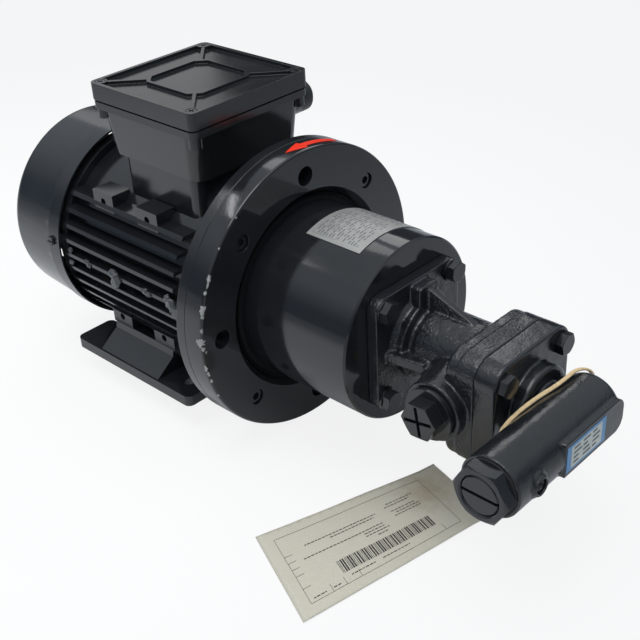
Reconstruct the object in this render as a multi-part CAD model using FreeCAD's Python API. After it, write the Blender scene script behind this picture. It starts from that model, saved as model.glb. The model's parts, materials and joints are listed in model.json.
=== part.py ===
import FreeCAD, Part
import math
import os

# Gear pump driven by a foot and flange electric motor through a damped bell housing.
# Millimetres. The origin is the centre of the mounting ring's front face, on the shaft.
# +X runs along the shaft from the motor to the pump, +Z is up, -Y is the side with the plug in view.

# Fits and clearances
seat_gap = 0.05
running_gap = 0.03
face_gap = 0.1
soft_gap = 0.3

# Motor flange and mounting ring
flange_radius = 100.0
flange_thickness = 8.5
ring_depth = 15.8
ring_bore_radius = 66.0
ring_edge_radius = 2.0
ring_lip_radius = 71.0
ring_lip_depth = 5.0
flange_hole_circle = 165.0
flange_hole_radius = 6.5
flange_hole_count = 4
ring_screw_radius = 3.0
ring_screw_head_radius = 5.0
ring_screw_head_height = 5.0
ring_screw_recess = 6.5
spigot_radius = 65.0
spigot_height = 3.5

# Motor body
shaft_height = 80.0
frame_front_x = -57.0
frame_rear_x = -180.0
frame_bore_radius = 60.0
frame_wall_radius = 66.0
fin_envelope_radius = 75.0
fin_thickness = 2.8
fin_pitch = 11.0
side_fin_count = 9
bottom_fin_count = 5
pedestal_half_width = 43.0
pedestal_front_x = -55.0
pedestal_rear_x = -134.0
pedestal_top_z = 80.0
lead_hole_radius = 15.0
pad_centres_x = (-142.0, -94.0)
upper_pad_z = 46.5
lower_pad_z = 48.0
pad_face_y = 60.0
pad_length = 22.0
pad_height = 14.0
pad_hole_radius = 2.6
pad_hole_depth = 4.0

# End shields, bearings and motor shaft
shield_hub_radius = 34.0
front_bearing_outer_radius = 23.5
front_bearing_bore_radius = 10.0
front_bearing_width = 14.0
front_bearing_x = -44.0
rear_bearing_outer_radius = 20.0
rear_bearing_bore_radius = 8.5
rear_bearing_width = 12.0
rear_bearing_x = -194.0
rear_shield_depth = 16.0
shaft_end_radius = 9.5
shaft_end_length = 40.0
shaft_body_radius = 13.0
rotor_radius = 36.0
air_gap = 0.4
core_front_x = -78.0
core_rear_x = -148.0
winding_overhang = 16.0

# Fan and fan cover
cover_front_x = -181.3
cover_rear_x = -245.9
cover_fin_gap = 3.6
cover_front_radius = fin_envelope_radius + cover_fin_gap
cover_taper = 3.5
cover_rear_radius = cover_front_radius - cover_taper
cover_band_length = 12.5
cover_band_step = 1.0
cover_sheet = 1.4
cover_corner_radius = 9.0
fan_front_x = -205.0
fan_rear_x = -229.0
fan_radius = 60.0
fan_blade_count = 7
fan_blade_thickness = 2.2
cover_screw_x = -190.0
cover_screw_turn = -6.0
cover_screw_radius = 2.0
cover_screw_head_radius = 3.6
cover_screw_head_height = 2.0
cover_screw_slot = 1.0
cover_screw_gap = 0.05
cover_screw_depth = 9.6

# Feet
foot_hole_x = -67.5
foot_hole_spacing_y = 125.0
foot_hole_radius = 5.0
foot_thickness = 8.0
foot_outer_y = 78.0
foot_inner_y = 45.0
foot_length = 130.0
foot_centre_x = -116.0
foot_web_length = 66.0
foot_web_x = -119.0
foot_web_rise = 11.5
foot_screw_radius = 3.0
foot_screw_engagement = 8.0

# Terminal box
box_top_z = 117.5
box_wall = 3.0
box_top_half = 49.8
box_taper = 3.5
box_bottom_half = box_top_half - box_taper
box_centre_x = -96.0
lid_overhang = 2.5
lid_half = box_top_half + lid_overhang
lid_top_z = 130.4
lid_plate = 3.0
lid_rim_width = 3.2
lid_rim_height = 2.6
lid_rib_width = 2.6
lid_square_half = 28.0
lid_corner_cut = 7.5
lid_screw_inset = 5.9
gasket_thickness = 1.2
entry_plug_radius = 9.0
entry_plug_x = -62.0
entry_plug_z = 105.8
entry_plug_reach = 13.7
entry_plug_end_y = lid_half + entry_plug_reach
board_half_length = 22.0
board_near_y = -36.0
board_far_y = -17.0
board_height = 12.0
stud_pitch = 14.0
stud_radius = 2.2
stud_height = 10.0
stud_inset_near = 4.5
stud_inset_far = 4.5
stud_link_half_width = 3.0
stud_link_inset = 2.0
stud_link_thickness = 1.2

# Bell housing
bell_radius = 61.3
bell_bore_radius = 54.5
bell_rear_x = -11.0
bell_front_x = 84.4
bell_front_wall = 12.0
bell_edge_chamfer = 1.2
rubber_rear_x = -10.5
rubber_front_x = -3.0
plate_front_x = 65.0
plate_rear_x = 20.5
plate_start_angle = -21.5
plate_end_angle = 44.0
plate_thickness = 0.5
arrow_x = -7.5
arrow_half_width = 5.2
arrow_shaft_half_width = 2.6
arrow_start_angle = 23.0
arrow_head_angle = 3.5
arrow_tip_angle = -5.2
arrow_thickness = 0.3

# Coupling
hub_radius = 20.0
motor_hub_rear_x = 0.0
hub_length = 25.0
coupling_gap = 16.0
jaw_count = 3
jaw_inner_radius = 9.0
jaw_half_angle = 25.0
spider_side_gap = 0.3

# Pump housing
pump_flange_half = 40.0
pump_flange_corner = 9.0
pump_flange_thickness = 8.1
pump_bolt_offset = 32.0
bolt_radius = 4.0
bolt_head_flats = 13.0
washer_radius = 7.6
washer_thickness = 1.6
bolt_head_height = 5.3
pump_spigot_radius = 25.0
pump_spigot_height = 5.0
collar_radius = 27.0
collar_front_x = 101.0
groove_radius = 21.6
groove_front_x = 105.6
neck_radius = 23.5
gear_case_rear_x = 118.0
block_rear_x = 141.0
block_step_x = 150.0
block_step = 0.6
joint_x = 162.0
block_half_width = 38.5
block_top_z = 24.9
case_wall = 6.5
block_corner_radius = 14.0
rib_thickness = 4.6
top_rib_start_x = 103.0
top_rib_start_z = 36.1
top_rib_end_x = 136.0
side_web_low_z = -4.5
side_web_high_z = 2.5
side_web_half_width = 33.3
side_web_end_half_width = 29.0

# Ports and their plugs
port_x = 139.0
port_boss_radius = 19.7
port_face_y = 46.5
port_bore_radius = 12.1
port_bore_depth = 15.0
port_passage_radius = 8.0
plug_collar_radius = 16.9
plug_collar_height = 2.6
plug_hex_flats = 22.0
plug_hex_height = 9.4
plug_turn = 5.0
plug_shank_length = 13.0
plug_ring_height = 1.2
plug_slot_width = 2.2
plug_slot_depth = 3.0

# Gears
gear_module = 2.0
gear_teeth = 13
pressure_angle = 20.0
gear_tip_radius = 14.8
gear_root_radius = 10.4
tooth_backlash = 0.16
gear_width = 17.8
gear_chamber_radius = 15.0
gear_chamber_length = 18.0
front_block_length = 17.0
pump_shaft_radius = 8.0
pump_shaft_rear_x = 160.0
pump_shaft_front_x = 42.0
seal_radius = 14.0
seal_width = 7.0
seal_front_x = 107.0

# End cover with relief valve
cover_plate_thickness = 15.0
cover_bolt_y = 28.8
cover_bolt_inset_z = 11.5
dowel_radius = 3.0
dowel_half_length = 7.0
dowel_end_gap = 1.0
boss_radius = 25.0
boss_front_x = 186.0
bridge_radius = 15.5
barrel_x = 204.0
barrel_radius = 19.3
barrel_near_y = -79.5
barrel_far_y = 24.5
barrel_end_radius = 6.0
barrel_pad_rise = 0.2
barrel_pad_x = barrel_x + barrel_radius + barrel_pad_rise
barrel_pad_near_y = -37.0
barrel_pad_half_height = 11.5
vent_boss_y = -61.5
vent_boss_radius = 6.3
vent_boss_rise = 2.0
vent_boss_front_x = barrel_x + barrel_radius + vent_boss_rise
vent_screw_radius = 3.6
valve_bore_radius = 11.0
valve_mouth_radius = 14.2
valve_mouth_depth = 14.0
seat_face_y = -2.0
seat_length = 6.0
seat_radius = 7.5
seat_bore_radius = 4.6
inlet_end_y = 14.0
oil_hole_radius = 3.5
outlet_hole_y = -9.0
inlet_hole_y = 9.0
poppet_lift = 0.004
poppet_length = 15.0
poppet_cone_length = 4.0
poppet_floor = 4.0
spring_wire_radius = 1.1
spring_mean_radius = 6.8
spring_turns = 6
spring_plate_y = -56.0
spring_plate_thickness = 4.0
cap_flats = 32.0
cap_height = 9.0
cap_ring_height = 0.9
screw_radius = 12.3
screw_length = 9.0
screw_stem_radius = 5.0
screw_slot_width = 2.0
screw_slot_depth = 2.6
valve_label_near_y = -35.5
valve_label_far_y = 4.0
valve_label_half_height = 8.5
valve_label_thickness = 0.3

# Tag and twine
twine_radius = 1.2
knot_radius = 2.9
tag_thickness = 0.5
tag_level = -99.7
tag_low_left = (63.3, -126.2)
tag_low_right = (134.9, -157.5)
tag_fold_left = (101.5, -12.0)
tag_fold_right = (160.5, -29.5)
tag_flap_reach = (6.4, 7.4)
tag_end_lift = 5.0
tag_hole_gap = 0.12
tag_hole_share = 0.8

# Values that follow from the sizes above
flange_front_x = -ring_depth
flange_rear_x = flange_front_x - flange_thickness
foot_bottom_z = -shaft_height
foot_top_z = -(lower_pad_z + pad_height / 2.0)
foot_screw_y = (pad_face_y + foot_inner_y) / 2.0
hole_circle_radius = flange_hole_circle / 2.0
gear_centre_distance = gear_module * gear_teeth
port_z = -gear_centre_distance / 2.0
idler_z = -gear_centre_distance
block_bottom_z = 2.0 * port_z - block_top_z
cover_front_face_x = joint_x + cover_plate_thickness
chamber_front_x = port_x - gear_chamber_length / 2.0
chamber_rear_x = port_x + gear_chamber_length / 2.0
bearing_front_x = chamber_front_x - front_block_length
pump_flange_front_x = bell_front_x + pump_flange_thickness
shaft_end_x = flange_front_x + shaft_end_length
spider_rear_x = motor_hub_rear_x + hub_length
spider_front_x = spider_rear_x + coupling_gap
cap_rear_y = barrel_near_y - cap_ring_height
cap_front_y = cap_rear_y - cap_height


def vec(x, y, z):
    return FreeCAD.Vector(x, y, z)


def rod_x(radius, x0, x1, y=0.0, z=0.0):
    return Part.makeCylinder(radius, x1 - x0, vec(x0, y, z), vec(1, 0, 0))


def rod_y(radius, y0, y1, x, z):
    return Part.makeCylinder(radius, y1 - y0, vec(x, y0, z), vec(0, 1, 0))


def rod_z(radius, z0, z1, x, y):
    return Part.makeCylinder(radius, z1 - z0, vec(x, y, z0), vec(0, 0, 1))


def block(x0, x1, y0, y1, z0, z1):
    return Part.makeBox(x1 - x0, y1 - y0, z1 - z0, vec(x0, y0, z0))


def merge(shapes):
    joined = shapes[0]
    if len(shapes) > 1:
        joined = joined.fuse(shapes[1:])
    return joined.removeSplitter()


def prism(points, direction):
    wire = Part.makePolygon(points + [points[0]])
    return Part.Face(wire).extrude(direction)


def turned_x(profile, y=0.0, z=0.0):
    """A closed outline of (x, radius) pairs turned round a line along X."""
    points = [vec(x, y, z + radius) for x, radius in profile]
    face = Part.Face(Part.makePolygon(points + [points[0]]))
    return face.revolve(vec(0, y, z), vec(1, 0, 0), 360)


def turned_y(profile, x, z):
    """A closed outline of (y, radius) pairs turned round a line along Y."""
    points = [vec(x, y, z + radius) for y, radius in profile]
    face = Part.Face(Part.makePolygon(points + [points[0]]))
    return face.revolve(vec(x, 0, z), vec(0, 1, 0), 360)


def tube_x(outer, inner, x0, x1, y=0.0, z=0.0):
    return rod_x(outer, x0, x1, y, z).cut(rod_x(inner, x0 - 1, x1 + 1, y, z))


def tube_y(outer, inner, y0, y1, x, z):
    return rod_y(outer, y0, y1, x, z).cut(rod_y(inner, y0 - 1, y1 + 1, x, z))


def edges_along(shape, direction):
    """Straight edges of a shape that run along a direction."""
    found = []
    for edge in shape.Edges:
        if isinstance(edge.Curve, Part.Line) and len(edge.Vertexes) == 2:
            run = edge.Vertexes[1].Point.sub(edge.Vertexes[0].Point).normalize()
            if abs(run.dot(direction)) > 0.999:
                found.append(edge)
    return found


def rounded_block_x(x0, x1, y0, y1, z0, z1, radius):
    body = block(x0, x1, y0, y1, z0, z1)
    return body.makeFillet(radius, edges_along(body, vec(1, 0, 0)))


def rounded_block_z(x0, x1, y0, y1, z0, z1, radius):
    body = block(x0, x1, y0, y1, z0, z1)
    return body.makeFillet(radius, edges_along(body, vec(0, 0, 1)))


def hexagon(across_flats, centre, across, up, length):
    """Six-sided prism with two flats facing along up."""
    corner = across_flats / math.sqrt(3.0)
    points = []
    for step in range(6):
        angle = math.radians(60.0 * step)
        points.append(centre + across * (corner * math.cos(angle)) + up * (corner * math.sin(angle)))
    return prism(points, length)


def hex_bolt_x(head_x, shank_x, y, z, turn=0.0):
    """Hexagon bolt along X: its head is seated at head_x and the shank runs back to shank_x."""
    head = hexagon(bolt_head_flats, vec(head_x, y, z), vec(0, 1, 0), vec(0, 0, 1),
                   vec(bolt_head_height, 0, 0))
    crown = turned_x([(head_x, 0.0), (head_x, bolt_head_flats),
                      (head_x + bolt_head_height - 2.6, bolt_head_flats),
                      (head_x + bolt_head_height, bolt_head_flats * 0.47),
                      (head_x + bolt_head_height, 0.0)], y, z)
    head = head.common(crown)
    head.rotate(vec(head_x, y, z), vec(1, 0, 0), turn)
    return merge([head, rod_x(bolt_radius - seat_gap, shank_x, head_x, y, z)])


def ring_places(count, radius, first_angle):
    """Evenly spaced (y, z) places on a circle round the shaft."""
    places = []
    for step in range(count):
        angle = math.radians(first_angle + 360.0 * step / count)
        places.append((radius * math.cos(angle), radius * math.sin(angle)))
    return places


def group(solids):
    return Part.makeCompound(solids)


# Motor

def motor_frame():
    parts = [rod_x(frame_wall_radius, frame_rear_x, frame_front_x)]
    envelope = rod_x(fin_envelope_radius, frame_rear_x, frame_front_x)
    fins = []
    first = -fin_pitch * (side_fin_count - 1) / 2.0
    for step in range(side_fin_count):
        z = first + fin_pitch * step
        fins.append(block(frame_rear_x, frame_front_x, -fin_envelope_radius, fin_envelope_radius,
                          z - fin_thickness / 2.0, z + fin_thickness / 2.0))
    first = -fin_pitch * (bottom_fin_count - 1) / 2.0
    for step in range(bottom_fin_count):
        y = first + fin_pitch * step
        fins.append(block(frame_rear_x, frame_front_x, y - fin_thickness / 2.0, y + fin_thickness / 2.0,
                          -fin_envelope_radius, 0.0))
    parts += [fin.common(envelope) for fin in fins]
    parts.append(pedestal())
    for x in pad_centres_x:
        for side in (-1, 1):
            for level in (-1, 1):
                parts.append(pad(x, side, level * pad_level(level)))
    frame = merge(parts)
    frame = frame.cut(rod_x(frame_bore_radius + seat_gap, frame_rear_x - 1, frame_front_x + 1))
    holes = [rod_z(lead_hole_radius, 0.0, pedestal_top_z + 1, box_centre_x, 0.0)]
    for x in pad_centres_x:
        for side in (-1, 1):
            for level in (-1, 1):
                mouth = side * pad_face_y
                floor = side * (pad_face_y - pad_hole_depth)
                holes.append(rod_y(pad_hole_radius, min(mouth, floor), max(mouth, floor),
                                   x, level * pad_level(level)))
            holes.append(rod_z(foot_screw_radius + seat_gap, foot_top_z - 1,
                               foot_top_z + foot_screw_engagement + 1, x, side * foot_screw_y))
    return frame.cut(holes)


def pedestal():
    """Seat of the terminal box, which narrows towards the frame's wall."""
    low = block(pedestal_rear_x, pedestal_front_x - 2.0, -pedestal_half_width, pedestal_half_width,
                upper_pad_z - 6.0, pedestal_top_z)
    return low.makeFillet(8.0, edges_along(low, vec(0, 0, 1)))


def pad_level(level):
    return upper_pad_z if level > 0 else lower_pad_z


def pad(x, side, z):
    """Machined pad on the side of the frame that can take a foot."""
    y = sorted((side * (frame_wall_radius - 22.0), side * pad_face_y))
    return block(x - pad_length / 2.0, x + pad_length / 2.0, y[0], y[1],
                 z - pad_height / 2.0, z + pad_height / 2.0)


def drive_end_shield():
    """Cast end shield with the mounting flange, its spigot and the front bearing's seat."""
    profile = [
        (frame_front_x - 6.0, frame_bore_radius - seat_gap),
        (frame_front_x, frame_bore_radius - seat_gap),
        (frame_front_x, frame_wall_radius),
        (frame_front_x + 10.0, frame_wall_radius + 1.5),
        (flange_rear_x - 6.0, frame_wall_radius + 1.5),
        (flange_rear_x, frame_wall_radius + 7.0),
        (flange_rear_x, flange_radius - 0.8),
        (flange_rear_x + 0.8, flange_radius),
        (flange_front_x - 0.3, flange_radius),
        (flange_front_x, flange_radius - 0.3),
        (flange_front_x, spigot_radius),
        (flange_front_x + spigot_height, spigot_radius),
        (flange_front_x + spigot_height, spigot_radius - 5.0),
        (flange_front_x - 3.0, spigot_radius - 7.0),
        (flange_front_x - 3.0, shaft_body_radius - 1.5),
        (front_bearing_x + front_bearing_width, shaft_body_radius - 1.5),
        (front_bearing_x + front_bearing_width, front_bearing_outer_radius + seat_gap),
        (front_bearing_x - 1.0, front_bearing_outer_radius + seat_gap),
        (front_bearing_x - 1.0, shield_hub_radius),
        (flange_rear_x - 4.0, shield_hub_radius),
        (flange_rear_x - 4.0, frame_bore_radius - 5.0),
        (frame_front_x - 6.0, frame_bore_radius - 5.0),
    ]
    shield = turned_x(profile)
    holes = []
    for y, z in ring_places(flange_hole_count, hole_circle_radius, 0.0):
        holes.append(rod_x(flange_hole_radius, flange_rear_x - 20.0, flange_front_x + 1, y, z))
    for y, z in ring_places(flange_hole_count, hole_circle_radius, 45.0):
        holes.append(rod_x(ring_screw_radius + seat_gap, flange_rear_x - 1, flange_front_x + 1, y, z))
    return shield.cut(holes)


def rear_end_shield():
    front = frame_rear_x
    rear = frame_rear_x - rear_shield_depth
    profile = [
        (front + 6.0, frame_bore_radius - 5.0),
        (front + 6.0, frame_bore_radius - seat_gap),
        (front, frame_bore_radius - seat_gap),
        (front, fin_envelope_radius - 3.0),
        (front - 9.0, fin_envelope_radius - 3.0),
        (front - 9.0, frame_wall_radius - 8.0),
        (rear, shield_hub_radius - 4.0),
        (rear, shaft_body_radius - 2.5),
        (rear_bearing_x, shaft_body_radius - 2.5),
        (rear_bearing_x, rear_bearing_outer_radius + seat_gap),
        (rear_bearing_x + rear_bearing_width + 1.0, rear_bearing_outer_radius + seat_gap),
        (rear_bearing_x + rear_bearing_width + 1.0, shield_hub_radius - 4.0),
        (front - 4.0, frame_bore_radius - 5.0),
    ]
    shield = turned_x(profile)
    bosses = []
    holes = []
    reach = cover_front_radius - cover_sheet - soft_gap
    for step in range(4):
        angle = cover_screw_turn + 90.0 * step
        boss = block(cover_screw_x - 4.5, cover_screw_x + 4.5, -5.0, 5.0, frame_wall_radius, reach - 0.4)
        boss.rotate(vec(0, 0, 0), vec(1, 0, 0), angle)
        bosses.append(boss)
        hole = rod_z(cover_screw_radius + cover_screw_gap, cover_front_radius - cover_screw_depth - 2.0,
                     reach + 3.0, cover_screw_x, 0.0)
        hole.rotate(vec(0, 0, 0), vec(1, 0, 0), angle)
        holes.append(hole)
    return merge([shield] + bosses).cut(holes)


def fan_cover():
    """Pressed sheet cover with a joggled front band, a rounded rear edge and a ringed grille."""
    band_x = cover_front_x - cover_band_length
    outer = [
        (cover_front_x, 0.0),
        (cover_front_x, cover_front_radius),
        (band_x, cover_front_radius),
        (band_x - 1.5, cover_front_radius - cover_band_step),
        (cover_rear_x, cover_rear_radius),
        (cover_rear_x, 0.0),
    ]
    skin = turned_x(outer)
    rear_edge = [edge for edge in skin.Edges
                 if isinstance(edge.Curve, Part.Circle)
                 and abs(edge.Curve.Center.x - cover_rear_x) < 0.01
                 and edge.Curve.Radius > cover_rear_radius - 1.0]
    skin = skin.makeFillet(cover_corner_radius, rear_edge)
    t = cover_sheet
    inner = turned_x([
        (cover_front_x + 1.0, 0.0),
        (cover_front_x + 1.0, cover_front_radius - t),
        (band_x, cover_front_radius - t),
        (band_x - 1.5, cover_front_radius - cover_band_step - t),
        (cover_rear_x + t, cover_rear_radius - t),
        (cover_rear_x + t, 0.0),
    ])
    rear_edge = [edge for edge in inner.Edges
                 if isinstance(edge.Curve, Part.Circle)
                 and abs(edge.Curve.Center.x - cover_rear_x - t) < 0.01
                 and edge.Curve.Radius > cover_rear_radius - t - 1.0]
    inner = inner.makeFillet(cover_corner_radius - t, rear_edge)
    shell = skin.cut(inner)
    spokes = [block(cover_rear_x - 1, cover_rear_x + 3, -3.0, 3.0, -70.0, 70.0),
              block(cover_rear_x - 1, cover_rear_x + 3, -70.0, 70.0, -3.0, 3.0)]
    slots = []
    for middle in (20.0, 31.0, 42.0, 53.0):
        slots.append(tube_x(middle + 2.6, middle - 2.6, cover_rear_x - 1, cover_rear_x + 3))
    slots = [slot.cut(spokes) for slot in slots]
    holes = []
    for step in range(4):
        hole = rod_z(cover_screw_radius + 0.2, cover_front_radius - 5.0, cover_front_radius + 5.0,
                     cover_screw_x, 0.0)
        hole.rotate(vec(0, 0, 0), vec(1, 0, 0), cover_screw_turn + 90.0 * step)
        holes.append(hole)
    return shell.cut(slots + holes)


def fan_cover_screws():
    screws = []
    for step in range(4):
        seat = cover_front_radius + cover_screw_gap
        top = cover_front_radius + cover_screw_head_height
        head = rod_z(cover_screw_head_radius, seat, top, cover_screw_x, 0.0)
        shank = rod_z(cover_screw_radius, cover_front_radius - cover_screw_depth, seat, cover_screw_x, 0.0)
        half = cover_screw_head_radius + 0.4
        slot = block(cover_screw_x - half, cover_screw_x + half, -cover_screw_slot / 2.0,
                     cover_screw_slot / 2.0, top - cover_screw_slot, top + 1.0)
        screw = merge([head, shank]).cut(slot)
        screw.rotate(vec(0, 0, 0), vec(1, 0, 0), cover_screw_turn + 90.0 * step)
        screws.append(screw)
    return group(screws)


def motor_shaft():
    """Stepped rotor shaft: fan seat, rear bearing, core, front bearing and the driven end."""
    rear_shoulder = rear_bearing_x + rear_bearing_width
    profile = [
        (fan_rear_x - 3.0, 0.0),
        (fan_rear_x - 3.0, rear_bearing_bore_radius - 1.0),
        (rear_bearing_x - 4.0, rear_bearing_bore_radius - 1.0),
        (rear_bearing_x - 4.0, rear_bearing_bore_radius - seat_gap),
        (rear_shoulder, rear_bearing_bore_radius - seat_gap),
        (rear_shoulder, shaft_body_radius - 1.5),
        (core_rear_x, shaft_body_radius - 1.5),
        (core_rear_x, shaft_body_radius),
        (core_front_x, shaft_body_radius),
        (core_front_x, shaft_body_radius - 1.0),
        (front_bearing_x, shaft_body_radius - 1.0),
        (front_bearing_x, front_bearing_bore_radius - seat_gap),
        (flange_front_x - 1.0, front_bearing_bore_radius - seat_gap),
        (flange_front_x - 1.0, shaft_end_radius),
        (shaft_end_x - 1.0, shaft_end_radius),
        (shaft_end_x, shaft_end_radius - 1.0),
        (shaft_end_x, 0.0),
    ]
    keyway = block(motor_hub_rear_x - 2.0, shaft_end_x + 1, -3.0, 3.0, shaft_end_radius - 3.5,
                   shaft_end_radius + 1)
    return turned_x(profile).cut(keyway)


def ball_bearing(bore, outer, x, width):
    """Sealed ball bearing as one turned ring with its seals set back from the ring faces."""
    wall = (outer - bore) * 0.28
    return turned_x([
        (x, bore), (x, bore + wall), (x + 0.8, bore + wall), (x + 0.8, outer - wall), (x, outer - wall),
        (x, outer), (x + width, outer), (x + width, outer - wall), (x + width - 0.8, outer - wall),
        (x + width - 0.8, bore + wall), (x + width, bore + wall), (x + width, bore),
    ])


def stator_core():
    core = tube_x(frame_bore_radius - seat_gap, rotor_radius + air_gap, core_rear_x, core_front_x)
    return core


def stator_windings():
    coils = []
    for start, direction in ((core_front_x + face_gap, 1.0), (core_rear_x - face_gap, -1.0)):
        end = start + direction * winding_overhang
        middle = (start + end) / 2.0
        coils.append(turned_x([
            (start, rotor_radius + 4.0), (end, rotor_radius + 7.0), (end, frame_bore_radius - 9.0),
            (middle, frame_bore_radius - 5.0), (start, frame_bore_radius - 6.0)]))
    return group(coils)


def rotor_core():
    """Laminated rotor with its cast end rings."""
    return turned_x([
        (core_rear_x - 7.0, shaft_body_radius + 9.0), (core_rear_x - 7.0, rotor_radius - 3.0),
        (core_rear_x, rotor_radius - 3.0), (core_rear_x, rotor_radius), (core_front_x, rotor_radius),
        (core_front_x, rotor_radius - 3.0), (core_front_x + 7.0, rotor_radius - 3.0),
        (core_front_x + 7.0, shaft_body_radius + 9.0), (core_front_x, shaft_body_radius + 9.0),
        (core_front_x, shaft_body_radius + seat_gap), (core_rear_x, shaft_body_radius + seat_gap),
        (core_rear_x, shaft_body_radius + 9.0),
    ])


def cooling_fan():
    bore = rear_bearing_bore_radius - 1.0 + seat_gap
    hub = tube_x(bore + 8.0, bore, fan_rear_x, fan_front_x)
    disc = tube_x(fan_radius * 0.7, bore + 7.0, fan_front_x - 3.0, fan_front_x)
    blades = []
    for step in range(fan_blade_count):
        blade = block(fan_rear_x + 2.0, fan_front_x, -fan_blade_thickness / 2.0,
                      fan_blade_thickness / 2.0, bore + 6.0, fan_radius)
        blade.rotate(vec(0, 0, 0), vec(1, 0, 0), 360.0 * step / fan_blade_count)
        blades.append(blade)
    return merge([hub, disc] + blades)


# Feet and terminal box

def foot(side):
    """Bolt-on foot: base plate with a holed front end and a sloped web up to the frame's pads."""
    x0 = foot_centre_x - foot_length / 2.0
    x1 = foot_centre_x + foot_length / 2.0
    base_top = foot_bottom_z + foot_thickness
    base = block(x0, x1, -foot_outer_y, -foot_inner_y, foot_bottom_z, base_top)
    base = base.makeFillet(5.0, edges_along(base, vec(0, 0, 1)))
    web_x0 = foot_web_x - foot_web_length / 2.0
    outline = [(-foot_outer_y + 1.5, base_top), (-pad_face_y - 0.5, base_top + foot_web_rise),
               (-pad_face_y + 0.5, foot_top_z), (-foot_inner_y, foot_top_z), (-foot_inner_y, base_top)]
    web = prism([vec(web_x0, y, z) for y, z in outline], vec(foot_web_length, 0, 0))
    cuts = [rod_z(foot_hole_radius, foot_bottom_z - 1, base_top + 1, foot_hole_x,
                  -foot_hole_spacing_y / 2.0)]
    for x in pad_centres_x:
        cuts.append(rod_z(foot_screw_radius + seat_gap, foot_bottom_z - 1, foot_top_z + 1, x,
                          -foot_screw_y))
        cuts.append(rod_z(foot_screw_radius + 2.5, foot_bottom_z - 1, base_top + 3.0, x,
                          -foot_screw_y))
    shape = merge([base, web]).cut(cuts)
    if side > 0:
        shape = shape.mirror(vec(0, 0, 0), vec(0, 1, 0))
    return shape


def foot_screws():
    """Cap screws that hold each foot up against its two pads."""
    screws = []
    seat = foot_bottom_z + foot_thickness + 3.0
    for side in (-1, 1):
        y = side * foot_screw_y
        for x in pad_centres_x:
            head = rod_z(foot_screw_radius + 2.0, seat - 6.0, seat, x, y)
            shank = rod_z(foot_screw_radius, seat, foot_top_z + foot_screw_engagement, x, y)
            screws.append(merge([head, shank]))
    return group(screws)


def tapered_box(half_low, half_high, z0, z1, corner):
    """Square box between two levels whose sides lean out, as a loft of rounded squares."""
    wires = []
    for half, z in ((half_low, z0), (half_high, z1)):
        plate = block(box_centre_x - half, box_centre_x + half, -half, half, z, z + 1)
        plate = plate.makeFillet(corner, edges_along(plate, vec(0, 0, 1)))
        lowest = min(plate.Faces, key=lambda face: face.CenterOfMass.z)
        wires.append(lowest.OuterWire)
    return Part.makeLoft(wires, True, True)


def terminal_box():
    body = tapered_box(box_bottom_half, box_top_half, pedestal_top_z, box_top_z, 11.0)
    hollow = tapered_box(box_bottom_half - box_wall, box_top_half - box_wall,
                         pedestal_top_z + box_wall, box_top_z + 0.01, 9.0)
    rim_z = box_top_z - 5.0
    rim = rounded_block_z(box_centre_x - lid_half + 0.4, box_centre_x + lid_half - 0.4,
                          -lid_half + 0.4, lid_half - 0.4, rim_z, box_top_z, 5.0)
    rim = rim.cut(rounded_block_z(box_centre_x - box_top_half + 3.0, box_centre_x + box_top_half - 3.0,
                                  -box_top_half + 3.0, box_top_half - 3.0, rim_z - 1, box_top_z + 1, 8.0))
    shape = merge([body.cut(hollow), rim])
    bosses = [rod_z(4.6, box_top_z - 12.0, box_top_z, x, y) for x, y in lid_screw_places()]
    shape = merge([shape] + bosses)
    entry = rod_y(entry_plug_radius + 2.5, box_top_half - 6.0, lid_half + 1.0, entry_plug_x, entry_plug_z)
    shape = merge([shape, entry.cut(hollow)])
    holes = [rod_y(entry_plug_radius, box_top_half - 12.0, lid_half + 8.0, entry_plug_x, entry_plug_z),
             rod_z(lead_hole_radius - 2.0, pedestal_top_z - 1, pedestal_top_z + box_wall + 1,
                   box_centre_x, 0.0)]
    holes += [rod_z(1.8, box_top_z - 10.0, box_top_z + 1, x, y) for x, y in lid_screw_places()]
    return shape.cut(holes)


def lid_screw_places():
    offset = lid_half - lid_screw_inset
    return [(box_centre_x + sx * offset, sy * offset) for sx in (-1, 1) for sy in (-1, 1)]


def terminal_lid():
    """Die-cast lid with a raised rim, an inner frame with cut corners and diagonal ribs."""
    z0 = box_top_z + gasket_thickness
    low = lid_half
    plate_top = lid_top_z - lid_rim_height
    shape = rounded_block_z(box_centre_x - low, box_centre_x + low, -low, low, z0, lid_top_z, 5.0)
    inner = low - lid_rim_width
    well = rounded_block_z(box_centre_x - inner, box_centre_x + inner, -inner, inner,
                           plate_top, lid_top_z + 1, 3.0)
    ribs = [lid_frame(plate_top)]
    reach = (low - lid_screw_inset) * math.sqrt(2.0)
    start = lid_square_half * math.sqrt(2.0) - lid_corner_cut * math.sqrt(0.5)
    for angle in (45.0, 135.0, 225.0, 315.0):
        rib = block(box_centre_x + start - 0.6, box_centre_x + reach, -lid_rib_width / 2.0,
                    lid_rib_width / 2.0, plate_top - 0.5, lid_top_z - 0.3)
        rib.rotate(vec(box_centre_x, 0, 0), vec(0, 0, 1), angle)
        ribs.append(rib)
    ribs += [rod_z(5.0, plate_top - 0.5, lid_top_z, x, y) for x, y in lid_screw_places()]
    shape = merge([shape.cut(well)] + ribs)
    under = rounded_block_z(box_centre_x - low + 5.0, box_centre_x + low - 5.0, -low + 5.0, low - 5.0,
                            z0 - 1, plate_top - lid_plate, 4.0)
    columns = [rod_z(5.0, z0 - 1, lid_top_z, x, y) for x, y in lid_screw_places()]
    shape = shape.cut(under.cut(columns))
    holes = []
    for x, y in lid_screw_places():
        holes.append(rod_z(2.3, z0 - 1, lid_top_z + 1, x, y))
        holes.append(rod_z(3.6, lid_top_z - 2.6, lid_top_z + 1, x, y))
    return shape.cut(holes)


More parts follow.
